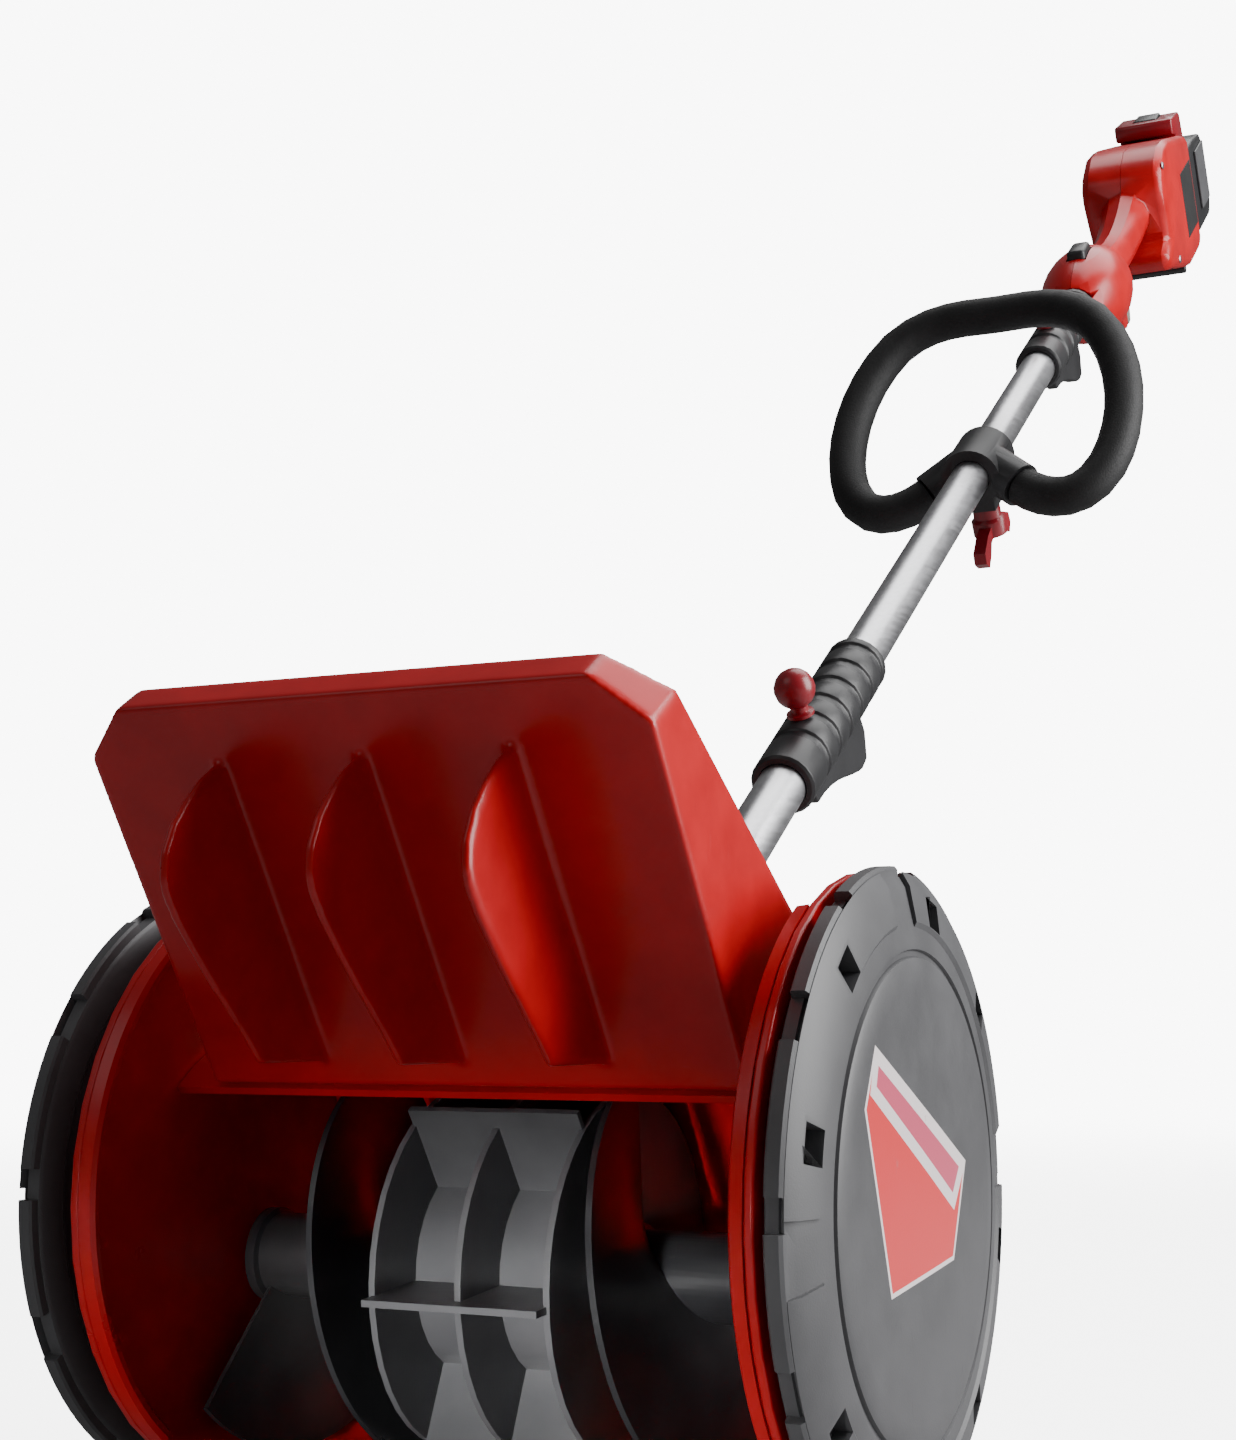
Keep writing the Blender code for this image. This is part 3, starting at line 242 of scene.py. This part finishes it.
def metal(name, colour, roughness, streak, turn=(0, 0, 0)):
    made = Recipe(name, Metallic=1.0)
    lines = made.noise(420.0, 3.0, made.laid(turn, streak), 0.6)
    broad = made.noise(9.0, 3.0)
    dull = tuple(c * 0.82 for c in colour)
    shade = (lines * 0.6 + broad * 0.4).ramp(0.34, 0.66)
    made.feed("Base Color", made.blend(shade, (*dull, 1), (*colour, 1)))
    made.feed("Roughness", lines * 0.14 + broad * 0.10 + roughness)
    made.feed("Normal", made.bump(lines, 0.18, 0.00006))
    return made


aluminium = metal("drawn_aluminium_tube", rgb(214, 214, 217), 0.20, (1.0, 0.02, 1.0),
                  (radians(-SHAFT_LEAN), 0, 0))
steel = metal("turned_steel", rgb(168, 168, 172), 0.24, (1.0, 0.06, 0.06))

foam = Recipe("black_foam_grip", IOR=1.45)
cells = foam.node("ShaderNodeTexVoronoi", dict(feature="F1"), {"Vector": foam.place, "Scale": 900.0},
                  "Distance")
creases = foam.noise(38.0, 4.0)
foam.feed("Base Color", foam.blend(creases.ramp(0.35, 0.7), (*rgb(15, 15, 16), 1), (*rgb(29, 29, 30), 1)))
foam.feed("Roughness", creases * 0.15 + cells * 0.15 + 0.50)
foam.feed("Normal", foam.bump(cells, 0.5, 0.00018, foam.bump(creases, 0.3, 0.0008)))
print("tube streaks lean back", SHAFT_LEAN, "degrees")

# %% [markdown]
# ## The wheel's cap with its plain label
#
# Each outer cap carries a five-sided printed label. Its outline is the same on a flat face whatever the
# mesh, so it's painted, not built: a point is inside when it lies on the inner side of every edge. The
# label here has no words and no picture, only a red field, a white band and a plain bar.

# %% A painted polygon
wheel_low, wheel_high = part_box("wheel_right")
hub_y, hub_z = (wheel_low.y + wheel_high.y) / 2, (wheel_low.z + wheel_high.z) / 2
CAP_STEP = 0.0045
BORDER, BAR_INSET = 0.0016, 0.0050
# Corners from the hub, in metres, clockwise: the label, and the white band along its longest edge.
LABEL = ((-0.0497, 0.0539), (0.0470, 0.0111), (0.0305, -0.0228), (-0.0378, -0.0290), (-0.0610, 0.0334))
BAND = (LABEL[0], LABEL[1], (0.0317, -0.0055), (-0.0554, 0.0379))


def inside(y, z, corners, inset):
    """1 inside a clockwise polygon whose edges are moved inwards by inset."""
    mask = None
    for (ay, az), (by, bz) in zip(corners, corners[1:] + corners[:1]):
        long = sqrt((by - ay) ** 2 + (bz - az) ** 2)
        ny, nz = -(bz - az) / long, (by - ay) / long
        edge = (y * ny + z * nz).below(ay * ny + az * nz - inset)
        mask = edge if mask is None else mask * edge
    return mask


def labelled_cap(side, name):
    made = moulded("grey_cap_with_label_" + name, rgb(76, 76, 78), 0.46, 0.00012, scuffs=0.25)
    out, along, up = (made.node("ShaderNodeSeparateXYZ", {}, {0: made.place}, axis) for axis in "XYZ")
    y, z = (along - hub_y) * side, up - hub_z
    face = (out * side).above(side * face_x("wheel_" + name, side) + CAP_STEP)
    field = inside(y, z, LABEL, 0.0) * face
    red_field = inside(y, z, LABEL, BORDER)
    band, bar = inside(y, z, BAND, 0.0), inside(y, z, BAND, BAR_INSET)
    worn = made.noise(90.0, 5.0).ramp(0.70, 0.78)
    shade = made.fed("Base Color")
    shade = made.blend(field, shade, (*rgb(236, 226, 226), 1))
    shade = made.blend(field * red_field * (1 - band), shade, (*rgb(222, 52, 56), 1))
    shade = made.blend(field * bar, shade, (*rgb(205, 84, 110), 1))
    shade = made.blend(field * worn * 0.35, shade, (*rgb(150, 120, 120), 1))
    made.feed("Base Color", shade)
    made.feed("Roughness", made.fed("Roughness") * (1 - field) + field * 0.32)
    return made


cap_finish = {name: labelled_cap(side, name) for side, name in SIDES}
print("label corners", len(LABEL), "around the hub at", round(hub_y, 4), round(hub_z, 4))

# %% [markdown]
# ## Paint by slot
#
# The record says which stock each piece is made of. That gives every node a finish at once, and the few
# that differ from their slot, such as the foam on the loop, are named after it.

# %% Which finish goes where
FINISH = {"red_plastic": red_plastic, "dark_red_plastic": dark_red_plastic, "black_plastic": black_plastic,
          "dark_grey_plastic": grey_plastic, "trigger_grey": trigger_plastic, "satin_aluminium": aluminium,
          "steel": steel, "belt_rubber": rubber}
SPECIAL = {"loop_handle": foam, "auger_paddles": paddle_grey_painted_lit, "auger_flight_right": auger_plastic,
           "auger_flight_left": auger_plastic, "side_panel_right": inlay_black_and_pocket_shade,
           "side_panel_left": inlay_black_and_pocket_shade}


def finish_of(node):
    return SPECIAL.get(node, FINISH[slot_of[node]]).material


def paint(piece, material):
    piece.data.materials.clear()
    piece.data.materials.append(material)


for node, piece in nodes.items():
    paint(piece, finish_of(node))
print("painted", len(nodes), "nodes with", len({finish_of(node).name for node in nodes}), "finishes")

# %% [markdown]
# ## Rounded edges on the carried-over pieces
#
# Nothing moulded has a knife edge: the radius on a corner is what catches the light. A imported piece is
# loose triangles, so a copy is welded, its flat triangles are dissolved back into whole faces, and a Bevel
# modifier rounds what is left that is sharp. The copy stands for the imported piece, which stays hidden.
# The pieces in the second list have their rounding already, or are too thin for it, so they are only
# welded and shaded.

# %% Weld, dissolve, round
WELD = 0.000005


def solid(work, name):
    """A bmesh becomes a plain object."""
    mesh = bpy.data.meshes.new(name)
    work.to_mesh(mesh)
    work.free()
    made = bpy.data.objects.new(name, mesh)
    bpy.context.scene.collection.objects.link(made)
    return made


def finished(work, name, material, body, stands_for, rounding=0.0, sharp=34.0):
    """A bmesh becomes a smooth-shaded piece that rides on a body."""
    piece = solid(work, name)
    piece.data.shade_smooth()
    piece.data.set_sharp_from_angle(angle=radians(sharp))
    if rounding:
        bevel = piece.modifiers.new("rounding", "BEVEL")
        bevel.width = rounding
        bevel.segments = 2
        bevel.limit_method = "ANGLE"
        bevel.angle_limit = radians(40)
        bevel.harden_normals = True
    paint(piece, material)
    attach(piece, body)
    if stands_for:
        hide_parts(*stands_for)
    return piece


def welded(name):
    """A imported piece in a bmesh, welded and cleared of flat edges."""
    work = bmesh.new()
    work.from_mesh(nodes[name].data)
    bmesh.ops.remove_doubles(work, verts=work.verts, dist=WELD)
    bmesh.ops.dissolve_limit(work, angle_limit=radians(0.8), verts=work.verts, edges=work.edges)
    return work


ROUNDING = {"side_plate_right": 0.0011, "side_plate_left": 0.0011, "rear_cover": 0.0008,
            "auger_paddles": 0.0004, "coupler_1": 0.0004, "coupler_2": 0.0004, "coupler_1_hook": 0.0016,
            "coupler_2_hook": 0.0016, "handle_clamp": 0.0008, "wing_knob": 0.0013, "tube_socket": 0.0010,
            "heel_foot_1": 0.0008, "heel_foot_2": 0.0008, "auger_shaft": 0.0005,
            "side_panel_right": 0.0004, "side_panel_left": 0.0004}
SMOOTHED = ("drum_shell", "scraper_blade", "drive_case", "loop_handle", "coupler_1_knob", "coupler_2_knob",
            "lower_tube", "middle_tube", "upper_tube", "grip_shell_right", "grip_shell_left",
            "battery_pack", "battery_cap", "battery_latch", "trigger", "lockoff_button")
for name in (*ROUNDING, *SMOOTHED):
    finished(welded(name), name + "_finished", finish_of(name), home[name], [name], ROUNDING.get(name, 0.0))
print("rounded", len(ROUNDING), "pieces and smoothed", len(SMOOTHED))

# %% [markdown]
# ## The hood, with fins that grow out of it
#
# The hood and its three fins are one moulding, and a mould always leaves a fillet where a fin leaves its
# wall. Bevelling the roots by hand is fiddly on a shell. Here the pieces are put together, remeshed into
# small even voxels, and smoothed: the voxels join what overlaps, and smoothing rounds each inner corner.
# The fins are first drawn in towards the hood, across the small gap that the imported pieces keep.

# %% Join, remesh and relax
HOOD_NORMAL_TILT = radians(124.0)
FIN_GAP = 0.0015
VOXEL = 0.00105
RELAXING = 22


def settle(body, tools=()):
    """The body with its modifiers applied, as a bmesh; the tools are removed."""
    bpy.context.view_layer.update()
    mesh = bpy.data.meshes.new_from_object(body.evaluated_get(bpy.context.evaluated_depsgraph_get()))
    for old in (body, *tools):
        bpy.data.objects.remove(old)
    work = bmesh.new()
    work.from_mesh(mesh)
    return work


fins = ["hood_vane_1", "hood_vane_2", "hood_vane_3"]
inward = Vector((0, sin(HOOD_NORMAL_TILT), -cos(HOOD_NORMAL_TILT)))
work = bmesh.new()
work.from_mesh(nodes["hood"].data)
for name in fins:
    before = len(work.verts)
    work.from_mesh(nodes[name].data)
    work.verts.ensure_lookup_table()
    bmesh.ops.translate(work, vec=inward * FIN_GAP, verts=work.verts[before:])
bmesh.ops.remove_doubles(work, verts=work.verts, dist=WELD)
moulding = solid(work, "hood_work")
remesh = moulding.modifiers.new("voxels", "REMESH")
remesh.mode = "VOXEL"
remesh.voxel_size = VOXEL
relax = moulding.modifiers.new("relax", "SMOOTH")
relax.factor = 0.5
relax.iterations = RELAXING
thin = moulding.modifiers.new("thin", "DECIMATE")
thin.ratio = 0.35
hood = finished(settle(moulding), "hood_moulding", red_plastic.material, "frame", ["hood", *fins],
                sharp=60.0)
print("hood moulding has", len(hood.data.polygons), "faces")

# %% [markdown]
# ## Wheels
#
# A wheel is a turned body: a smooth tread band, a groove, a shoulder that slopes in to the face, a ring
# groove, and a slightly domed cap. On that shoulder stand four long pads with square pockets in them, and
# round the tread are lugs of two lengths. The body is a profile that is spun; each pad is a small section
# spun part of the way round, so that it follows the wheel. Booleans then join the pads and cut the pockets.

# %% Spin a wheel


def spun(section, start, sweep, steps, closed=True):
    """A section of (out, radius) points spun about the axle, which runs along X."""
    work = bmesh.new()
    ring = [work.verts.new((out, radius * cos(start), radius * sin(start))) for out, radius in section]
    if closed:
        geometry = [work.faces.new(ring)]
    else:
        geometry = ring + [work.edges.new(pair) for pair in zip(ring, ring[1:])]
    bmesh.ops.spin(work, geom=geometry, cent=(0, 0, 0), axis=(1, 0, 0), angle=sweep, steps=steps,
                   use_merge=not closed)
    bmesh.ops.remove_doubles(work, verts=work.verts, dist=0.00001)
    bmesh.ops.recalc_face_normals(work, faces=work.faces)
    return work


def join(body, tool, operation):
    cut = body.modifiers.new(operation.lower(), "BOOLEAN")
    cut.object, cut.operation, cut.solver = tool, operation, "EXACT"


# Each point is how far out from the wheel's inner face it lies, and its radius.
TREAD = (wheel_high.z - wheel_low.z) / 2
CAP_OUT = face_x("wheel_cap_right", 1) - wheel_low.x
BODY = ((0.0005, 0.0), (0.0005, 0.030), (0.0030, 0.034), (0.0030, 0.096), (0.0002, 0.100), (0.0002, 0.1105),
        (0.0012, 0.1120), (0.0058, 0.1125), (0.0062, 0.1112), (0.0070, 0.1112), (0.0074, 0.1122),
        (0.0096, 0.1085), (0.0124, 0.0955), (0.0138, 0.0880), (0.0138, 0.0866), (0.0126, 0.0860),
        (0.0126, 0.0842), (0.0140, 0.0836), (0.0149, 0.0815), (0.0154, 0.0740), (CAP_OUT, 0.0),
        (0.0005, 0.0))
PAD = ((0.0060, 0.1085), (0.0082, 0.1142), (0.0112, 0.1090), (0.0136, 0.0962), (0.0120, 0.0935),
       (0.0080, 0.0960))
LUG = ((0.0012, 0.1090), (0.0016, 0.1150), (0.0024, TREAD), (0.0070, TREAD), (0.0080, 0.1146),
       (0.0082, 0.1080))
POCKET_FLOOR, POCKET_TOP, POCKET_LOW, POCKET_HIGH = 0.0068, 0.0160, 0.0965, 0.1075
POCKET = ((POCKET_FLOOR, POCKET_LOW), (POCKET_FLOOR, POCKET_HIGH), (POCKET_TOP, POCKET_HIGH),
          (POCKET_TOP, POCKET_LOW))

# %% Where the pads, lugs and pockets stand, in degrees round the wheel
PADS, PAD_START, PAD_SWEEP = 4, 101, 78
LUGS, LUG_START, LUG_SWEEPS = 12, 1, (21.0, 24.5)
POCKET_STARTS_AND_SWEEPS = ((126.5, 6.5), (163.0, 7.0))


def wheel_work():
    body = solid(spun(BODY, 0.0, 2 * pi, 128, closed=False), "wheel_body")
    tools = []

    def add(section, start, sweep, steps, operation):
        tools.append(solid(spun(section, radians(start), radians(sweep), steps), "wheel_tool"))
        join(body, tools[-1], operation)

    for k in range(PADS):
        add(PAD, PAD_START + 360 / PADS * k, PAD_SWEEP, 26, "UNION")
    for k in range(LUGS):
        add(LUG, LUG_START + 360 / LUGS * k, LUG_SWEEPS[k % 2], 8, "UNION")
    for k in range(PADS):
        for start, sweep in POCKET_STARTS_AND_SWEEPS:
            add(POCKET, start + 360 / PADS * k, sweep, 3, "DIFFERENCE")
    return settle(body, tools)


work = wheel_work()
open_edges = sum(1 for edge in work.edges if not edge.is_manifold)
print("wheel has", len(work.faces), "faces and", open_edges, "open edges")

# %% [markdown]
# One wheel serves both sides. It's turned over for the left, moved to its axle, and given two finishes:
# grey everywhere, and black painted shade in the pockets, which are found by how deep their floor lies
# and by their steep walls.

# %% Two wheels from one
SLACK = 0.0005


def in_pocket(face, inner):
    middle = face.calc_center_median()
    out = abs(middle.x - inner)
    radius = Vector((middle.y - hub_y, middle.z - hub_z)).length
    floor = abs(out - POCKET_FLOOR) < 0.0001
    wall = abs(face.normal.x) < 0.3 and POCKET_FLOOR + 0.0001 < out < 0.0130
    return floor or (wall and POCKET_LOW - SLACK < radius < POCKET_HIGH + SLACK)


wheel_mesh = bpy.data.meshes.new("wheel_shape")
work.to_mesh(wheel_mesh)
work.free()
for side, name in SIDES:
    inner = face_x("wheel_" + name, -side)
    work = bmesh.new()
    work.from_mesh(wheel_mesh)
    if side < 0:
        bmesh.ops.scale(work, vec=(-1, 1, 1), verts=work.verts)
        bmesh.ops.reverse_faces(work, faces=work.faces)
    bmesh.ops.translate(work, vec=(inner, hub_y, hub_z), verts=work.verts)
    # Faces in a pocket take the second finish, whose black is painted shade in the recess.
    for face in work.faces:
        if in_pocket(face, inner):
            face.material_index = 1
    wheel = finished(work, "wheel_" + name + "_turned", cap_finish[name].material, name + "_wheel",
                     ["wheel_" + name, "wheel_cap_" + name], 0.0005)
    wheel.data.materials.append(inlay_black_and_pocket_shade.material)
    dark = sum(polygon.material_index for polygon in wheel.data.polygons)
    print(name, "wheel sits at x", round(inner, 4), "with", dark, "dark pocket faces")

# %% [markdown]
# ## The bead on the side plates
#
# The front edge of each side plate is rolled inwards into a thick bead, which keeps the thin plate stiff
# where it meets the snow. It's the same trick as the pads: a small round-cornered section, spun through the
# part of a circle that faces forward.

# %% Spin the beads
plate_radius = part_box("side_plate_right")[1].z - hub_z
BEAD_OVERLAP = 0.0002
BEAD_START, BEAD_SWEEP = 118, 116
# How far in from the plate, and how far below its rim, each corner of the bead's section lies.
BEAD = ((0.0, 0.0002), (0.0045, 0.0008), (0.0056, 0.0026), (0.0052, 0.0050), (0.0030, 0.0068),
        (0.0, 0.0076))
for side, name in SIDES:
    inner = face_x("side_plate_" + name, -side) - side * BEAD_OVERLAP
    section = [(-side * depth, plate_radius - below) for depth, below in BEAD]
    work = spun(section, radians(BEAD_START), radians(BEAD_SWEEP), 48)
    bmesh.ops.translate(work, vec=(inner, hub_y, hub_z), verts=work.verts)
    bead = finished(work, "plate_bead_" + name, red_plastic.material, "frame", [])
print("beads of radius", round(plate_radius, 4))

# %% [markdown]
# ## Auger flights
#
# A flight is a ribbon wound round its core. Spinning one edge with a push along the axle at each step draws
# exactly that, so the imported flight's facets become smooth. It's thickened, its rim is rounded, and its
# core is a turned sleeve with a collar at each end.

# %% Wind the flights
axis_low, axis_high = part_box("auger_shaft")
axle_y, axle_z = (axis_low.y + axis_high.y) / 2, (axis_low.z + axis_high.z) / 2
FLIGHT_RADII = (0.0130, 0.030, 0.050, 0.0727)
FLIGHT_START, FLIGHT_TURN, FLIGHT_STEPS = 95, 400, 132
INNER_MARGIN, OUTER_MARGIN = 0.0033, 0.0073
BORE, WAIST = 0.0066, 0.0160


def ribbon_of(side, begin, end):
    """A radial edge wound along the axle from begin to end, as a solid ribbon."""
    work = bmesh.new()
    first = radians(FLIGHT_START) * side
    ring = [work.verts.new((begin, r * cos(first), r * sin(first))) for r in FLIGHT_RADII]
    edges = [work.edges.new(pair) for pair in zip(ring, ring[1:])]
    bmesh.ops.spin(work, geom=ring + edges, cent=(0, 0, 0), axis=(1, 0, 0),
                   angle=radians(FLIGHT_TURN) * side, dvec=((end - begin) / FLIGHT_STEPS, 0, 0),
                   steps=FLIGHT_STEPS)
    ribbon = solid(work, "ribbon")
    skin = ribbon.modifiers.new("skin", "SOLIDIFY")
    skin.thickness, skin.offset = 0.0024, 0.0
    return ribbon


for side, name in SIDES:
    start_x, end_x = face_x("auger_flight_" + name, -side), face_x("auger_flight_" + name, side)
    begin, end = start_x + side * INNER_MARGIN, end_x - side * OUTER_MARGIN
    ribbon = ribbon_of(side, begin, end)
    half = abs(end_x - start_x) / 2
    sleeve = [(-half, BORE), (-half, 0.0180), (-half + 0.004, 0.0180), (-half + 0.005, WAIST),
              (half - 0.005, WAIST), (half - 0.004, 0.0175), (half, 0.0175), (half, BORE), (-half, BORE)]
    core = spun(sleeve, 0.0, 2 * pi, 48, closed=False)
    bmesh.ops.translate(core, vec=((start_x + end_x) / 2, 0, 0), verts=core.verts)
    core = solid(core, "core")
    join(core, ribbon, "UNION")
    work = settle(core, [ribbon])
    bmesh.ops.translate(work, vec=(0, axle_y, axle_z), verts=work.verts)
    flight = finished(work, "auger_flight_" + name + "_wound", auger_plastic.material, "auger",
                      ["auger_flight_" + name], 0.0006)
    print(name, "flight:", len(flight.data.polygons), "faces from x", round(begin, 4), "to", round(end, 4))

# %% [markdown]
# ## The drum's turned-in ends
#
# A sheet drum ends in a lip turned inwards, which stiffens it and closes the joint to the side plate. It's
# a flat band spun through the drum's own arc, from its foot up the back, just outside the auger's sweep.

# %% Spin the lips
drum_radius = axle_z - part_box("drum_shell")[0].z
LIP_INNER, LIP_OUTER, LIP_THICKNESS = 0.0058, 0.0010, 0.0015
LIP_START, LIP_SWEEP = -84, 99
for side, name in SIDES:
    edge = face_x("drum_shell", side)
    section = [(edge - side * depth, drum_radius - below) for depth, below in
               ((0.0, LIP_INNER), (0.0, LIP_OUTER), (LIP_THICKNESS, LIP_OUTER), (LIP_THICKNESS, LIP_INNER))]
    work = spun(section, radians(LIP_START), radians(LIP_SWEEP), 40)
    bmesh.ops.translate(work, vec=(0, axle_y, axle_z), verts=work.verts)
    lip = finished(work, "drum_lip_" + name, red_plastic.material, "frame", [])
print("drum lips inside radius", round(drum_radius, 4))

# %% [markdown]
# ## Screws
#
# The grip's halves and the drive case are held by cross-head screws. A screw is a turned button with a
# cross pressed into it. One mesh is made and copied to each place, because a screw is the same everywhere.

# %% Make one screw
SCREW_RADIUS, SCREW_HEIGHT = 0.0032, 0.0012


def screw_shape(radius, height):
    profile = ((0.0, 0.0), (0.0, radius), (0.0004, radius), (0.0010, radius * 0.8), (height, 0.0),
               (0.0, 0.0))
    head = solid(spun(profile, 0.0, 2 * pi, 20, closed=False), "head")
    tools = []
    for turn in (0.0, pi / 2):
        slot = bmesh.new()
        bmesh.ops.create_cube(slot, size=1.0)
        bmesh.ops.scale(slot, vec=(height, radius * 1.1, radius * 0.24), verts=slot.verts)
        bmesh.ops.rotate(slot, cent=(0, 0, 0), matrix=Matrix.Rotation(turn, 3, "X"), verts=slot.verts)
        bmesh.ops.translate(slot, vec=(height + 0.0001, 0, 0), verts=slot.verts)
        tools.append(solid(slot, "slot"))
        join(head, tools[-1], "DIFFERENCE")
    return settle(head, tools)


screw_mesh = bpy.data.meshes.new("screw")
shape = screw_shape(SCREW_RADIUS, SCREW_HEIGHT)
shape.to_mesh(screw_mesh)
shape.free()
print("a screw has", len(screw_mesh.polygons), "faces")

# %% Place it on the grip and the case


def screws(name, spots, material, body):
    """All the screws of one piece: each spot is a place and the direction its head faces."""
    work = bmesh.new()
    for where, facing in spots:
        before = len(work.verts)
        work.from_mesh(screw_mesh)
        work.verts.ensure_lookup_table()
        fresh = work.verts[before:]
        turn = Vector((1, 0, 0)).rotation_difference(Vector(facing)).to_matrix()
        bmesh.ops.rotate(work, cent=(0, 0, 0), matrix=turn, verts=fresh)
        bmesh.ops.translate(work, vec=where, verts=fresh)
    piece = finished(work, name, material, body, [])


lean = radians(SHAFT_LEAN)
along, normal = Vector((0, cos(lean), sin(lean))), Vector((0, -sin(lean), cos(lean)))
grip_x = face_x("grip_shell_right", 1) - 0.0004
# How far along the shaft's line and how far above it each grip screw lies.
spots = []
for reach, rise in ((0.085, 0.040), (0.100, -0.045)):
    spots.append(((grip_x, *(along * reach + normal * rise).yz), (1, 0, 0)))
screws("grip_screws", spots, steel.material, "frame")
case_x = face_x("drive_case", -1) + 0.0003
CASE_SCREWS, CASE_RING = 5, 0.036
CASE_START, CASE_STEP = 60, 62
spots = []
for k in range(CASE_SCREWS):
    angle = radians(CASE_START + CASE_STEP * k)
    spots.append(((case_x, axle_y + CASE_RING * cos(angle), axle_z + CASE_RING * sin(angle)), (-1, 0, 0)))
screws("drive_case_screws", spots, steel.material, "frame")
print("screws set in the grip and the drive case")

# %% [markdown]
# ## Studio
#
# The floor is a wide pale sheet that fades out into the background well behind the object, so no edge of it
# shows from any side. Light comes from large soft boxes: the strongest from the right, one overhead, and a
# weak one in front. The auger mouth stays dark but for a narrow beam, just enough to show the paddles.

# %% Floor
ground = wheel_low.z
FLOOR_CENTRE_Y = -0.6
sheet = bmesh.new()
bmesh.ops.create_circle(sheet, cap_ends=True, segments=96, radius=9.0)
bmesh.ops.translate(sheet, vec=(0, FLOOR_CENTRE_Y, ground), verts=sheet.verts)
floor = solid(sheet, "floor")
pale = Recipe("pale_floor", Roughness=0.75, IOR=1.4)
centred = pale.laid(shift=(0, -FLOOR_CENTRE_Y, -ground))
radius = pale.node("ShaderNodeVectorMath", dict(operation="LENGTH"), {0: centred}, "Value")
grain = pale.noise(30.0, 4.0)
pale.feed("Base Color", pale.blend(grain, (0.80, 0.80, 0.81, 1), (0.84, 0.84, 0.85, 1)))
pale.feed("Alpha", (1 - radius.ramp(0.7, 3.0)) * 0.38)
paint(floor, pale.material)
print("floor at", round(ground, 4))

# %% Background
SKY_LIGHT, SKY_SEEN = 0.13, 9.0
sky = bpy.data.worlds.new("soft_white")
bpy.context.scene.world = sky
sky.use_nodes = True
backdrop = sky.node_tree.nodes["Background"]
path = sky.node_tree.nodes.new("ShaderNodeLightPath")
seen = sky.node_tree.nodes.new("ShaderNodeMapRange")
seen.inputs["To Min"].default_value = SKY_LIGHT
seen.inputs["To Max"].default_value = SKY_SEEN
sky.node_tree.links.new(path.outputs["Is Camera Ray"], seen.inputs["Value"])
sky.node_tree.links.new(seen.outputs["Result"], backdrop.inputs["Strength"])
backdrop.inputs["Color"].default_value = (1.0, 1.0, 1.0, 1)
print("the background lights at", SKY_LIGHT, "and is seen at", SKY_SEEN)

# %% Soft boxes


def softbox(name, where, at, size, power, spread=180):
    lamp = bpy.data.lights.new(name, "AREA")
    lamp.shape = "RECTANGLE"
    lamp.size, lamp.size_y = size
    lamp.energy = power
    lamp.spread = radians(spread)
    box = bpy.data.objects.new(name, lamp)
    box.location = where
    box.rotation_euler = (Vector(at) - Vector(where)).to_track_quat("-Z", "Y").to_euler()
    bpy.context.scene.collection.objects.link(box)


head = (0.0, -0.95, -0.70)
softbox("right_box", (2.0, -0.2, 0.3), head, (1.5, 2.0), 110)
softbox("top_box", (0.4, 0.5, 2.2), (0, -0.5, -0.4), (2.0, 2.4), 60)
softbox("front_fill", (-0.9, -2.6, 0.9), head, (1.2, 1.2), 4)
softbox("mouth_light", (0.04, -2.5, -0.74), (0.0, -0.98, -0.735), (0.20, 0.08), 0.16, spread=7)
print("four soft boxes")

# %% Camera
eye = bpy.data.cameras.new("camera")
eye.sensor_fit = "AUTO"
eye.sensor_width = 36.0
eye.lens = 54.957
camera = bpy.data.objects.new("camera", eye)
camera.location = (0.3907, -1.7268, -0.6199)
camera.rotation_euler = (radians(97.6563), 0.0, radians(25.8767))
eye.clip_start = 0.01
bpy.context.scene.collection.objects.link(camera)
bpy.context.scene.camera = camera
print("camera stands", round((camera.location - Vector(head)).length, 2), "m from the auger head")
